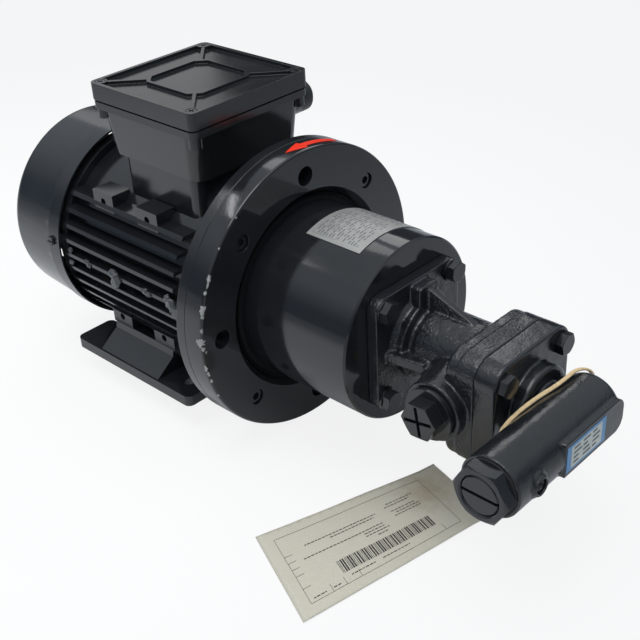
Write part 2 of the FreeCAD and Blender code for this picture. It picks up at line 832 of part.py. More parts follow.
def lid_frame(z0):
    """Square rib frame with its corners cut at 45 degrees."""
    def outline(half, cut):
        points = []
        for sx, sy in ((1, 1), (-1, 1), (-1, -1), (1, -1)):
            first = vec(box_centre_x + sx * (half - cut), sy * half, z0 - 0.5)
            second = vec(box_centre_x + sx * half, sy * (half - cut), z0 - 0.5)
            points += [second, first] if sx * sy > 0 else [first, second]
        return points
    height = vec(0, 0, lid_rim_height + 0.2)
    outer = prism(outline(lid_square_half, lid_corner_cut), height)
    inner = prism(outline(lid_square_half - lid_rib_width, lid_corner_cut - 1.0), height)
    return outer.cut(inner)


def box_gasket():
    half = lid_half - 2.0
    inner = box_top_half - 3.0
    plate = rounded_block_z(box_centre_x - half, box_centre_x + half, -half, half, box_top_z,
                            box_top_z + gasket_thickness, 4.0)
    window = rounded_block_z(box_centre_x - inner, box_centre_x + inner, -inner, inner,
                             box_top_z - 1, box_top_z + 3, 8.0)
    holes = [rod_z(2.4, box_top_z - 1, box_top_z + 3, x, y) for x, y in lid_screw_places()]
    corners = [rod_z(4.4, box_top_z, box_top_z + gasket_thickness, x, y) for x, y in lid_screw_places()]
    return merge([plate.cut(window)] + corners).cut(holes)


def lid_screws():
    screws = []
    seat = lid_top_z - 2.6
    for x, y in lid_screw_places():
        head = rod_z(3.4, seat, seat + 2.4, x, y)
        cross = [block(x - 2.2, x + 2.2, y - 0.5, y + 0.5, seat + 1.2, seat + 3.0),
                 block(x - 0.5, x + 0.5, y - 2.2, y + 2.2, seat + 1.2, seat + 3.0)]
        screws.append(merge([head, rod_z(1.7, box_top_z - 8.0, seat, x, y)]).cut(cross))
    return group(screws)


def terminal_block():
    """Terminal board with six studs, three of them joined in pairs by flat links."""
    z0 = pedestal_top_z + box_wall
    top = z0 + board_height
    base = block(box_centre_x - board_half_length, box_centre_x + board_half_length,
                 board_near_y, board_far_y, z0, top)
    studs = []
    for step in (-1, 0, 1):
        x = box_centre_x + step * stud_pitch
        for y in (board_near_y + stud_inset_near, board_far_y - stud_inset_far):
            studs.append(rod_z(stud_radius, top, top + stud_height, x, y))
        studs.append(block(x - stud_link_half_width, x + stud_link_half_width, board_near_y + stud_link_inset,
                           board_far_y - stud_link_inset, top, top + stud_link_thickness))
    return merge([base] + studs)


def entry_plug():
    """Blanking plug in the cable entry on the far side of the terminal box."""
    seat = lid_half + 1.0 + seat_gap
    shank = rod_y(entry_plug_radius - seat_gap, box_top_half - 4.0, seat + 0.5, entry_plug_x, entry_plug_z)
    dome = turned_y([(seat, 0.0), (seat, entry_plug_radius + 2.4),
                     (entry_plug_end_y - 3.5, entry_plug_radius + 2.4),
                     (entry_plug_end_y, entry_plug_radius - 1.0), (entry_plug_end_y, 0.0)],
                    entry_plug_x, entry_plug_z)
    return merge([shank, dome])


# Mounting ring, bell housing and coupling

def mounting_ring():
    profile = [
        (flange_front_x, spigot_radius + seat_gap),
        (flange_front_x, flange_radius - 0.3),
        (flange_front_x + 0.3, flange_radius),
        (-ring_edge_radius, flange_radius),
        (-0.3 * ring_edge_radius, flange_radius - 0.3 * ring_edge_radius),
        (0.0, flange_radius - ring_edge_radius),
        (0.0, ring_lip_radius),
        (-ring_lip_depth, ring_bore_radius),
        (flange_front_x + spigot_height + 0.3, ring_bore_radius),
        (flange_front_x + spigot_height + 0.3, spigot_radius + seat_gap),
    ]
    ring = turned_x(profile)
    holes = []
    for y, z in ring_places(flange_hole_count, hole_circle_radius, 0.0):
        holes.append(rod_x(flange_hole_radius, flange_front_x - 1, 1.0, y, z))
    for y, z in ring_places(flange_hole_count, hole_circle_radius, 45.0):
        holes.append(rod_x(ring_screw_radius + seat_gap, flange_front_x - 1, 1.0, y, z))
        holes.append(rod_x(ring_screw_head_radius + 0.5, -ring_screw_recess, 1.0, y, z))
    return ring.cut(holes)


def ring_screws():
    screws = []
    seat = -ring_screw_recess
    for y, z in ring_places(flange_hole_count, hole_circle_radius, 45.0):
        head = rod_x(ring_screw_head_radius, seat, seat + ring_screw_head_height, y, z)
        shank = rod_x(ring_screw_radius, flange_rear_x, seat, y, z)
        socket = hexagon(5.0, vec(seat + 2.0, y, z), vec(0, 1, 0), vec(0, 0, 1), vec(5.0, 0, 0))
        screws.append(merge([head, shank]).cut(socket))
    return group(screws)


def damping_rubber():
    """Rubber ring bonded between the mounting ring's bore and the bell housing's tube."""
    middle = (rubber_rear_x + rubber_front_x) / 2.0
    return turned_x([
        (rubber_rear_x, bell_radius + seat_gap), (rubber_rear_x, ring_bore_radius - seat_gap),
        (middle, ring_bore_radius - seat_gap), (rubber_front_x - 1.0, ring_bore_radius - seat_gap),
        (rubber_front_x - 2.0, (bell_radius + ring_bore_radius) / 2.0),
        (rubber_front_x - 1.0, bell_radius + seat_gap)])


def bell_housing():
    c = bell_edge_chamfer
    profile = [
        (bell_rear_x, bell_bore_radius), (bell_rear_x, bell_radius),
        (bell_front_x - c, bell_radius), (bell_front_x, bell_radius - c),
        (bell_front_x, pump_spigot_radius + seat_gap),
        (bell_front_x - bell_front_wall, pump_spigot_radius + seat_gap),
        (bell_front_x - bell_front_wall, bell_bore_radius - 6.0),
        (bell_front_x - bell_front_wall - 6.0, bell_bore_radius),
    ]
    holes = []
    for sy in (-1, 1):
        for sz in (-1, 1):
            holes.append(rod_x(bolt_radius + seat_gap, bell_front_x - bell_front_wall - 1, bell_front_x + 1,
                               sy * pump_bolt_offset, sz * pump_bolt_offset))
    return turned_x(profile).cut(holes)


def rating_plate():
    """Bare plate bent to the bell housing's tube."""
    inner = bell_radius + 0.02
    sector = curved_sheet(inner, inner + plate_thickness, plate_rear_x, plate_front_x,
                          plate_start_angle, plate_end_angle)
    return sector


def curved_sheet(inner, outer, x0, x1, start_angle, end_angle):
    """Part of a thin tube round the shaft; angles run from +Z towards +Y."""
    profile = [(x0, inner), (x0, outer), (x1, outer), (x1, inner)]
    points = [vec(x, 0, radius) for x, radius in profile]
    face = Part.Face(Part.makePolygon(points + [points[0]]))
    sheet = face.revolve(vec(0, 0, 0), vec(1, 0, 0), end_angle - start_angle)
    sheet.rotate(vec(0, 0, 0), vec(1, 0, 0), -end_angle)
    return sheet


def rotation_arrow():
    """Plain arrow on the rim of the mounting ring that shows the sense of turning."""
    inner = flange_radius + 0.02
    sheet = curved_sheet(inner, inner + arrow_thickness, arrow_x - arrow_half_width,
                         arrow_x + arrow_half_width, arrow_tip_angle, arrow_start_angle)
    reach = flange_radius * 1.1

    def rim_point(x, angle):
        turn = math.radians(angle)
        return vec(x, reach * math.sin(turn) / math.cos(turn), reach)
    corners = [(arrow_x, arrow_tip_angle), (arrow_x + arrow_half_width, arrow_head_angle),
               (arrow_x + arrow_shaft_half_width, arrow_head_angle + 0.6),
               (arrow_x + arrow_shaft_half_width, arrow_start_angle),
               (arrow_x - arrow_shaft_half_width, arrow_start_angle),
               (arrow_x - arrow_shaft_half_width, arrow_head_angle + 0.6),
               (arrow_x - arrow_half_width, arrow_head_angle)]
    outline = [rim_point(x, angle) for x, angle in corners]
    wires = []
    for share in (0.85, 1.0):
        points = [vec(p.x, p.y * share, p.z * share) for p in outline]
        wires.append(Part.makePolygon(points + [points[0]]))
    cutter = Part.makeLoft(wires, True, True)
    return sheet.common(cutter)


def coupling_hub(x0, x1, bore, jaw_x, jaw_end, first_angle, key_side):
    """Coupling half: a bored hub with jaws that reach across the gap."""
    hub = tube_x(hub_radius, bore + seat_gap, x0, x1)
    jaws = []
    for step in range(jaw_count):
        jaws.append(sector_x(jaw_inner_radius, hub_radius, min(jaw_x, jaw_end), max(jaw_x, jaw_end),
                             first_angle + 360.0 * step / jaw_count, jaw_half_angle))
    shape = merge([hub] + jaws)
    keyway = block(x0 - 1, x1 + 1, -3.0 - seat_gap, 3.0 + seat_gap, 0.0, bore + 3.0)
    if key_side < 0:
        keyway.rotate(vec(0, 0, 0), vec(1, 0, 0), 180)
    clear = rod_x(jaw_inner_radius, min(jaw_x, jaw_end), max(jaw_x, jaw_end))
    return shape.cut(keyway.cut(clear))


def sector_x(inner, outer, x0, x1, middle_angle, half_angle):
    points = [vec(x0, 0, inner), vec(x0, 0, outer), vec(x1, 0, outer), vec(x1, 0, inner)]
    face = Part.Face(Part.makePolygon(points + [points[0]]))
    part = face.revolve(vec(0, 0, 0), vec(1, 0, 0), 2.0 * half_angle)
    part.rotate(vec(0, 0, 0), vec(1, 0, 0), middle_angle - half_angle)
    return part


def motor_coupling_hub():
    return coupling_hub(motor_hub_rear_x, spider_rear_x, shaft_end_radius, spider_rear_x,
                        spider_front_x - 1.0, 0.0, 1)


def pump_coupling_hub():
    return coupling_hub(spider_front_x, spider_front_x + hub_length, pump_shaft_radius, spider_front_x,
                        spider_rear_x + 1.0, 60.0, 1)


def coupling_spider():
    """Elastic star whose six arms fill the spaces between the jaws."""
    x0 = spider_rear_x + 1.2
    x1 = spider_front_x - 1.2
    hub = tube_x(jaw_inner_radius - 0.3, jaw_inner_radius - 4.0, x0, x1)
    arm_half_angle = (180.0 / jaw_count - 2.0 * jaw_half_angle) / 2.0
    arms = []
    for step in range(2 * jaw_count):
        angle = 180.0 / jaw_count * (step + 0.5)
        arms.append(sector_x(jaw_inner_radius - 2.0, hub_radius - 1.0, x0, x1, angle,
                             arm_half_angle - spider_side_gap * 2.0))
    return merge([hub] + arms)


def shaft_key(x0, x1, radius, half_width):
    return block(x0, x1, -half_width, half_width, radius - 3.4, radius + 2.7)


# Pump

def pump_bore(x0, x1, extra=0.0):
    """Figure-eight bore shared by the gears and the bearing blocks."""
    radius = gear_chamber_radius + extra
    waist = block(x0, x1, -4.0, 4.0, idler_z, 0.0)
    return merge([rod_x(radius, x0, x1), rod_x(radius, x0, x1, 0.0, idler_z), waist])


def pump_housing():
    """Casting with mounting flange, ribbed neck, port bosses and the gear case."""
    flange = rounded_block_x(bell_front_x, pump_flange_front_x, -pump_flange_half, pump_flange_half,
                             -pump_flange_half, pump_flange_half, pump_flange_corner)
    body = turned_x([
        (bell_front_x - pump_spigot_height, 0.0),
        (bell_front_x - pump_spigot_height, pump_spigot_radius),
        (bell_front_x, pump_spigot_radius),
        (bell_front_x, collar_radius + 3.0),
        (pump_flange_front_x, collar_radius + 3.0),
        (pump_flange_front_x + 3.0, collar_radius),
        (collar_front_x - 0.6, collar_radius),
        (collar_front_x + 0.6, groove_radius),
        (groove_front_x - 0.8, groove_radius),
        (groove_front_x + 0.4, neck_radius),
        (block_rear_x + 4.0, neck_radius),
        (block_rear_x + 4.0, 0.0),
    ])
    case = racetrack(gear_chamber_radius + case_wall, gear_case_rear_x, joint_x)
    rear_edges = [edge for edge in case.Edges
                  if abs(edge.BoundBox.XMax - gear_case_rear_x) < 0.01]
    case = case.makeFillet(4.0, rear_edges)
    plate = rounded_block_x(block_step_x, joint_x, -block_half_width, block_half_width,
                            block_bottom_z, block_top_z, block_corner_radius)
    rear = rounded_block_x(block_rear_x, block_step_x + 1.0, block_step - block_half_width,
                           block_half_width - block_step, block_bottom_z + block_step,
                           block_top_z - block_step, block_corner_radius - block_step)
    rear_edges = [edge for edge in rear.Edges if abs(edge.BoundBox.XMax - block_rear_x) < 0.01]
    rear = rear.makeFillet(3.5, rear_edges)
    ports = rod_y(port_boss_radius, -port_face_y, port_face_y, port_x, port_z)
    rim_edges = [edge for edge in ports.Edges if isinstance(edge.Curve, Part.Circle)]
    ports = ports.makeFillet(1.2, rim_edges)
    skirts = [port_skirt(side) for side in (-1, 1)]
    shape = merge([flange, body, case, plate, rear, ports] + skirts + housing_ribs())
    bores = [
        pump_bore(bearing_front_x, joint_x + 1),
        rod_x(pump_shaft_radius + 2.0, bell_front_x - pump_spigot_height - 1, bearing_front_x + 1),
        rod_x(seal_radius + seat_gap, bell_front_x - pump_spigot_height - 1, seal_front_x),
    ]
    for side in (-1, 1):
        mouth = sorted((side * (port_face_y + 1), side * (port_face_y - port_bore_depth)))
        bores.append(rod_y(port_bore_radius, mouth[0], mouth[1], port_x, port_z))
        reach = sorted((side * (port_face_y - port_bore_depth + 1), side * 6.0))
        bores.append(rod_y(port_passage_radius, reach[0], reach[1], port_x, port_z))
    for sy in (-1, 1):
        for sz in (-1, 1):
            bores.append(rod_x(bolt_radius + 0.4, bell_front_x - 1, pump_flange_front_x + 20.0,
                               sy * pump_bolt_offset, sz * pump_bolt_offset))
    for y, z in cover_bolt_places():
        bores.append(rod_x(bolt_radius + seat_gap, block_rear_x - 2.0, joint_x + 1, y, z))
    for y, z in dowel_places():
        end = joint_x - dowel_half_length - dowel_end_gap
        bores.append(rod_x(dowel_radius + seat_gap, end, joint_x + 1, y, z))
    return shape.cut(bores)


def racetrack(radius, x0, x1):
    """Solid with round ends over both gears and straight sides between them."""
    return merge([rod_x(radius, x0, x1), rod_x(radius, x0, x1, 0.0, idler_z),
                  block(x0, x1, -radius, radius, idler_z, 0.0)])


def port_skirt(side):
    """Cast swelling that blends a port boss into the gear case."""
    near = side * (port_face_y - 9.0)
    far = side * (gear_chamber_radius + 6.0)
    small = Part.Wire(Part.makeCircle(port_boss_radius + 0.2, vec(port_x, near, port_z), vec(0, 1, 0)))
    reach = joint_x - port_x + 0.5
    large = Part.Wire(Part.makeCircle(reach, vec(port_x - 1.0, far, port_z), vec(0, 1, 0)))
    return Part.makeLoft([small, large], True, True)


def housing_ribs():
    """Rib on top of the neck with its foot on the flange, and the flat webs at both sides."""
    half = rib_thickness / 2.0
    top = prism([vec(pump_flange_front_x - 2.0, -half, pump_flange_half - 3.0),
                 vec(top_rib_start_x, -half, top_rib_start_z),
                 vec(top_rib_end_x, -half, block_top_z - 1.2),
                 vec(top_rib_end_x, -half, 10.0),
                 vec(pump_flange_front_x - 2.0, -half, 10.0)], vec(0, rib_thickness, 0))
    lump = block(pump_flange_front_x - 2.0, top_rib_start_x - 2.0, -9.0, 9.0,
                 collar_radius - 4.0, pump_flange_half - 1.5)
    lump = lump.makeFillet(3.0, edges_along(lump, vec(1, 0, 0)))
    webs = []
    for side in (-1, 1):
        inner = side * (groove_radius - 5.0)
        end_x = port_x - port_boss_radius
        webs.append(prism([vec(pump_flange_front_x - 2.0, inner, side_web_low_z),
                           vec(pump_flange_front_x - 2.0, side * side_web_half_width, side_web_low_z),
                           vec(end_x, side * side_web_end_half_width, side_web_low_z),
                           vec(end_x, inner, side_web_low_z)],
                          vec(0, 0, side_web_high_z - side_web_low_z)))
    return [top, lump] + webs


def cover_bolt_places():
    high = block_top_z - cover_bolt_inset_z
    low = block_bottom_z + cover_bolt_inset_z
    return [(side * cover_bolt_y, z) for side in (-1, 1) for z in (high, low)]


def dowel_places():
    return [(-cover_bolt_y + 3.0, port_z + 17.0), (cover_bolt_y - 3.0, port_z - 17.0)]


def flange_bolts():
    """Four bolts, each with its washer, that hold the pump on the bell housing."""
    pieces = []
    seat = pump_flange_front_x
    for sy in (-1, 1):
        for sz in (-1, 1):
            y = sy * pump_bolt_offset
            z = sz * pump_bolt_offset
            pieces.append(tube_x(washer_radius, bolt_radius + 0.3, seat, seat + washer_thickness, y, z))
            pieces.append(hex_bolt_x(seat + washer_thickness, bell_front_x - bell_front_wall + 1.0,
                                     y, z, 20.0 * sy * sz))
    return group(pieces)


def cover_bolts():
    bolts = []
    for index, (y, z) in enumerate(cover_bolt_places()):
        bolts.append(hex_bolt_x(cover_front_face_x, block_rear_x + 2.0, y, z, 12.0 + 17.0 * index))
    return group(bolts)


def dowel_pins():
    return group([rod_x(dowel_radius, joint_x - dowel_half_length, joint_x + dowel_half_length, y, z)
                  for y, z in dowel_places()])


def bearing_block(x0, x1):
    """Sliding block with a plain bearing for each gear shaft."""
    outer = pump_bore(x0, x1, -seat_gap)
    bores = [rod_x(pump_shaft_radius + running_gap, x0 - 1, x1 + 1),
             rod_x(pump_shaft_radius + running_gap, x0 - 1, x1 + 1, 0.0, idler_z)]
    return outer.cut(bores)


def involute_point(base, radius, offset, mirror):
    """Point of an involute flank at a radius; offset turns the flank round the gear."""
    spread = math.sqrt((radius / base) ** 2 - 1.0) if radius > base else 0.0
    angle = spread - math.atan(spread)
    turn = mirror * (offset - angle)
    return radius * math.sin(turn), radius * math.cos(turn)


def gear_outline():
    """Closed wire of a spur gear in the YZ plane, one tooth pointing along +Z."""
    pitch = gear_module * gear_teeth / 2.0
    alpha = math.radians(pressure_angle)
    base = pitch * math.cos(alpha)
    lean = math.tan(alpha) - alpha
    offset = math.pi / (2.0 * gear_teeth) + lean - tooth_backlash / (2.0 * pitch)
    step = 2.0 * math.pi / gear_teeth
    radii = [base + (gear_tip_radius - base) * share for share in (0.0, 0.3, 0.65, 1.0)]

    def place(point, tooth):
        y, z = point
        turn = tooth * step
        return vec(0.0, y * math.cos(turn) + z * math.sin(turn), -y * math.sin(turn) + z * math.cos(turn))

    edges = []
    for tooth in range(gear_teeth):
        left = [place(involute_point(base, radius, offset, -1), tooth) for radius in radii]
        right = [place(involute_point(base, radius, offset, 1), tooth) for radius in radii]
        left_root = left[0] * (gear_root_radius / base)
        right_root = right[0] * (gear_root_radius / base)
        rising = Part.BSplineCurve()
        rising.interpolate(left)
        falling = Part.BSplineCurve()
        falling.interpolate(list(reversed(right)))
        tip = place((0.0, gear_tip_radius), tooth)
        following = place(involute_point(base, base, offset, -1), tooth + 1) * (gear_root_radius / base)
        valley = place((0.0, gear_root_radius), tooth + 0.5)
        edges += [Part.makeLine(left_root, left[0]), rising.toShape(),
                  Part.Arc(left[-1], tip, right[-1]).toShape(), falling.toShape(),
                  Part.makeLine(right[0], right_root),
                  Part.Arc(right_root, valley, following).toShape()]
    return Part.Wire(edges)


def gear_body(z, turn):
    face = Part.Face(gear_outline())
    x0 = port_x - gear_width / 2.0
    body = face.extrude(vec(gear_width, 0, 0))
    body.translate(vec(x0, 0, 0))
    body.rotate(vec(0, 0, 0), vec(1, 0, 0), turn)
    body.translate(vec(0, 0, z))
    return body


def drive_gear_shaft():
    """Drive gear and its shaft in one piece, with the keyed end inside the bell housing."""
    gear = gear_body(0.0, 0.0)
    c = 1.0
    shaft = turned_x([
        (pump_shaft_front_x, 0.0), (pump_shaft_front_x, pump_shaft_radius - c),
        (pump_shaft_front_x + c, pump_shaft_radius), (pump_shaft_rear_x - c, pump_shaft_radius),
        (pump_shaft_rear_x, pump_shaft_radius - c), (pump_shaft_rear_x, 0.0)])
    keyway = block(pump_shaft_front_x - 1, spider_front_x + hub_length - 2.0, -2.5, 2.5,
                   pump_shaft_radius - 3.4 - seat_gap, pump_shaft_radius + 1)
    return merge([gear, shaft]).cut(keyway)


def idler_gear_shaft():
    """Idler gear with its two journals, turned half a tooth so that the teeth are in mesh."""
    gear = gear_body(idler_z, 180.0 / gear_teeth if gear_teeth % 2 == 0 else 0.0)
    c = 1.0
    start = bearing_front_x + 1.0
    shaft = turned_x([
        (start, 0.0), (start, pump_shaft_radius - c), (start + c, pump_shaft_radius),
        (pump_shaft_rear_x - c, pump_shaft_radius), (pump_shaft_rear_x, pump_shaft_radius - c),
        (pump_shaft_rear_x, 0.0)], 0.0, idler_z)
    return merge([gear, shaft])


def shaft_seal():
    """Lip seal in the neck: a metal-cased ring with its lip just clear of the shaft."""
    x1 = seal_front_x - face_gap
    x0 = x1 - seal_width
    lip = pump_shaft_radius + running_gap
    return turned_x([
        (x0, seal_radius - 1.0), (x0 + 1.0, seal_radius), (x1, seal_radius), (x1, lip + 2.0),
        (x1 - 2.5, lip + 2.0), (x1 - 3.5, lip), (x1 - 4.5, lip + 1.0), (x0 + 1.5, lip + 1.6),
        (x0, lip + 2.4)])


def seal_retaining_ring():
    x1 = seal_front_x - seal_width - 2.0 * face_gap
    ring = tube_x(seal_radius, seal_radius - 3.0, x1 - 1.2, x1)
    return ring.cut(block(x1 - 3.0, x1 + 1.0, -3.0, 3.0, -seal_radius - 2.0, 0.0))


def port_plug(side):
    """Closing plug with a hexagon head and two crossed slots."""
    face = port_face_y + plug_ring_height
    collar = rod_y(plug_collar_radius, face, face + plug_collar_height, port_x, port_z)
    top = face + plug_collar_height + plug_hex_height
    turn = math.radians(plug_turn)
    head = hexagon(plug_hex_flats, vec(port_x, face, port_z), vec(math.cos(turn), 0, math.sin(turn)),
                   vec(-math.sin(turn), 0, math.cos(turn)), vec(0, top - face, 0))
    crown = turned_y([(face, 0.0), (face, plug_hex_flats), (top - 1.8, plug_hex_flats),
                      (top, plug_hex_flats * 0.49), (top, 0.0)], port_x, port_z)
    shank = tube_y(port_bore_radius - seat_gap, port_bore_radius - 4.0,
                   port_face_y - plug_shank_length, face + 1.0, port_x, port_z)
    slots = []
    reach = plug_hex_flats / 2.0 - 1.0
    for angle in (0.0, 90.0):
        slot = block(port_x - reach, port_x + reach, top - plug_slot_depth, top + 1,
                     port_z - plug_slot_width / 2.0, port_z + plug_slot_width / 2.0)
        slot.rotate(vec(port_x, 0, port_z), vec(0, 1, 0), angle - 2.0 * plug_turn)
        slots.append(slot)
    shape = merge([collar, head.common(crown), shank]).cut(slots)
    if side < 0:
        shape = shape.mirror(vec(0, 0, 0), vec(0, 1, 0))
    return shape


def port_seal_rings():
    rings = []
    for side in (-1, 1):
        span = sorted((side * port_face_y, side * (port_face_y + plug_ring_height)))
        rings.append(tube_y(plug_collar_radius - 0.8, port_bore_radius + 0.2, span[0], span[1],
                            port_x, port_z))
    return group(rings)


# End cover and relief valve

def end_cover():
    """Cover plate cast in one piece with the relief valve's boss and barrel."""
    plate = rounded_block_x(joint_x, cover_front_face_x, -block_half_width, block_half_width,
                            block_bottom_z, block_top_z, block_corner_radius)
    front_edges = [edge for edge in plate.Edges
                   if abs(edge.BoundBox.XMin - cover_front_face_x) < 0.01]
    plate = plate.makeFillet(1.5, front_edges)
    boss = rod_x(boss_radius, cover_front_face_x - 2.0, boss_front_x, 0.0, port_z)
    boss = boss.makeFillet(2.5, [edge for edge in boss.Edges
                                 if abs(edge.BoundBox.XMin - boss_front_x) < 0.01])
    bridge = rod_x(bridge_radius, boss_front_x - 6.0, barrel_x, 0.0, port_z)
    barrel = rod_y(barrel_radius, barrel_near_y, barrel_far_y, barrel_x, port_z)
    barrel = barrel.makeFillet(barrel_end_radius, [edge for edge in barrel.Edges
                                                   if abs(edge.BoundBox.YMin - barrel_far_y) < 0.01])
    flat = block(barrel_x + 4.0, barrel_pad_x, barrel_pad_near_y, barrel_far_y,
                 port_z - barrel_pad_half_height, port_z + barrel_pad_half_height)
    ends = [edge for edge in edges_along(flat, vec(1, 0, 0)) if edge.BoundBox.YMin > barrel_far_y - 0.01]
    flat = flat.makeFillet(barrel_pad_half_height - 3.0, ends)
    vent = turned_x([
        (barrel_x + 8.0, 0.0), (barrel_x + 8.0, vent_boss_radius + 2.0),
        (barrel_x + barrel_radius - 1.0, vent_boss_radius + 2.0),
        (barrel_x + barrel_radius + 0.8, vent_boss_radius),
        (vent_boss_front_x - 0.6, vent_boss_radius), (vent_boss_front_x, vent_boss_radius - 0.6),
        (vent_boss_front_x, 0.0)], vent_boss_y, port_z)
    shape = merge([plate, boss, bridge, barrel, flat, vent])
    bores = [
        rod_y(valve_bore_radius, barrel_near_y - 1, seat_face_y, barrel_x, port_z),
        rod_y(valve_mouth_radius, barrel_near_y - 1, barrel_near_y + valve_mouth_depth, barrel_x, port_z),
        rod_y(seat_radius + seat_gap, seat_face_y - 1, seat_face_y + seat_length, barrel_x, port_z),
        rod_y(seat_radius - 1.5, seat_face_y, inlet_end_y, barrel_x, port_z),
        rod_x(oil_hole_radius, joint_x - 1, barrel_x, inlet_hole_y, port_z),
        rod_x(oil_hole_radius, joint_x - 1, barrel_x, outlet_hole_y, port_z),
        rod_x(vent_screw_radius + seat_gap, barrel_x, vent_boss_front_x + 1, vent_boss_y, port_z),
        rod_x(vent_screw_radius + 1.0, vent_boss_front_x - 3.0, vent_boss_front_x + 1, vent_boss_y,
              port_z),
    ]
    for y, z in cover_bolt_places():
        bores.append(rod_x(bolt_radius + 0.4, joint_x - 1, cover_front_face_x + 20.0, y, z))
    for y, z in dowel_places():
        end = joint_x + dowel_half_length + dowel_end_gap
        bores.append(rod_x(dowel_radius + seat_gap, joint_x - 1, end, y, z))
    for z in (0.0, idler_z):
        bores.append(rod_x(pump_shaft_radius + 1.0, joint_x - 1, joint_x + 2.5, 0.0, z))
    groove = cover_ring_space(0.0)
    return shape.cut(bores + [groove])


def cover_ring_space(gap):
    """Racetrack ring round the figure-eight bore, for the cover's seal and its groove."""
    outer = gear_chamber_radius + 4.2 - gap
    inner = gear_chamber_radius + 1.8 + gap

    x1 = joint_x + 1.8 - gap
    x0 = joint_x if gap > 0.0 else joint_x - 1.0
    return racetrack(outer, x0, x1).cut(racetrack(inner, x0 - 1, x1 + 1))


def cover_seal():
    return cover_ring_space(seat_gap)


def valve_seat():
    """Hardened seat pressed into the barrel, with a coned edge for the poppet."""
    y0 = seat_face_y
    y1 = seat_face_y + seat_length
    return turned_y([
        (y0, seat_bore_radius + 1.5), (y0, seat_radius), (y1 - face_gap, seat_radius),
        (y1 - face_gap, seat_bore_radius), (y0 + 1.5, seat_bore_radius)], barrel_x, port_z)


def valve_poppet():
    """Cup-shaped poppet, guided by the barrel's bore, with its cone on the seat."""
    tip = seat_face_y + 1.5 - face_gap
    base = seat_face_y - 1.2
    rear = base - poppet_length
    guide = valve_bore_radius - running_gap
    return turned_y([
        (tip, 0.0), (tip, seat_bore_radius - 0.4), (seat_face_y - face_gap, seat_bore_radius + 1.0),
        (base, seat_bore_radius + 3.0), (base, guide), (rear, guide), (rear, guide - 1.8),
        (base - poppet_floor, guide - 1.8), (base - poppet_floor, 0.0)], barrel_x, port_z)


def valve_spring():
    """Coil spring between the poppet's cup and the spring plate, with closed end turns."""
    near = spring_plate_y + face_gap
    far = seat_face_y - 1.2 - poppet_floor - face_gap
    height = far - near - 2.0 * spring_wire_radius
    helix = Part.makeHelix(height / spring_turns, height, spring_mean_radius)
    start = vec(spring_mean_radius, 0, 0)
    section = Part.Wire(Part.makeCircle(spring_wire_radius, start, vec(0, 1, 0)))
    coil = Part.Wire(helix).makePipeShell([section], True, True)
    ends = []
    for z in (0.0, height):
        ends.append(Part.makeTorus(spring_mean_radius, spring_wire_radius, vec(0, 0, z), vec(0, 0, 1)))
    spring = merge([coil] + ends)
    spring.rotate(vec(0, 0, 0), vec(1, 0, 0), -90)
    spring.translate(vec(barrel_x, near + spring_wire_radius, port_z))
    return spring


def spring_plate():
    y1 = spring_plate_y
    y0 = y1 - spring_plate_thickness
    guide = valve_bore_radius - running_gap
    return turned_y([(y0, 0.0), (y0, guide - 2.0), (y0 + 1.0, guide), (y1, guide), (y1, 0.0)],
                    barrel_x, port_z)


def valve_cap():
    """Hexagon bonnet screwed into the barrel, bored for the adjusting screw."""
    head = hexagon(cap_flats, vec(barrel_x, cap_front_y, port_z), vec(1, 0, 0), vec(0, 0, 1),
                   vec(0, cap_height, 0))
    crown = turned_y([(cap_front_y, 0.0), (cap_front_y, cap_flats * 0.5 - 0.5),
                      (cap_front_y + 2.2, cap_flats * 0.6), (cap_rear_y + 1.0, cap_flats * 0.6),
                      (cap_rear_y + 1.0, 0.0)], barrel_x, port_z)
    shank = rod_y(valve_mouth_radius - seat_gap, cap_rear_y - 1.0, barrel_near_y + valve_mouth_depth - 2.0,
                  barrel_x, port_z)
    bore = rod_y(screw_radius + running_gap, cap_front_y - 1, 0.0, barrel_x, port_z)
    lead = turned_y([(cap_front_y - 0.1, 0.0), (cap_front_y - 0.1, screw_radius + 1.1),
                     (cap_front_y + 1.0, screw_radius), (cap_front_y + 1.0, 0.0)], barrel_x, port_z)
    return merge([head.common(crown), shank]).cut([bore, lead])


def cap_seal_ring():
    return tube_y(barrel_radius - 1.6, valve_mouth_radius + 0.3, cap_rear_y, barrel_near_y,
                  barrel_x, port_z)


def adjusting_screw():
    """Slotted screw in the bonnet whose stem bears on the spring plate."""
    front = cap_front_y + 0.4
    head = turned_y([
        (front, 0.0), (front, screw_radius - 1.0), (front + 1.0, screw_radius),
        (front + screw_length, screw_radius), (front + screw_length, 0.0)], barrel_x, port_z)
    stem = rod_y(screw_stem_radius, front + screw_length - 1.0,
                 spring_plate_y - spring_plate_thickness - face_gap, barrel_x, port_z)
    slot = block(barrel_x - screw_radius - 1, barrel_x + screw_radius + 1, front - 1,
                 front + screw_slot_depth, port_z - screw_slot_width / 2.0,
                 port_z + screw_slot_width / 2.0)
    return merge([head, stem]).cut(slot)


def vent_screw():
    front = vent_boss_front_x - 3.2
    screw = rod_x(vent_screw_radius, barrel_x + valve_bore_radius + 1.0, front, vent_boss_y, port_z)
    slot = block(front - 1.2, front + 1, vent_boss_y - 5.0, vent_boss_y + 5.0, port_z - 0.6, port_z + 0.6)
    slot.rotate(vec(front, vent_boss_y, port_z), vec(1, 0, 0), 35)
    return screw.cut(slot)


def valve_label():
    return block(barrel_pad_x + 0.02, barrel_pad_x + 0.02 + valve_label_thickness, valve_label_near_y,
                 valve_label_far_y, port_z - valve_label_half_height, port_z + valve_label_half_height)


# Tag and twine

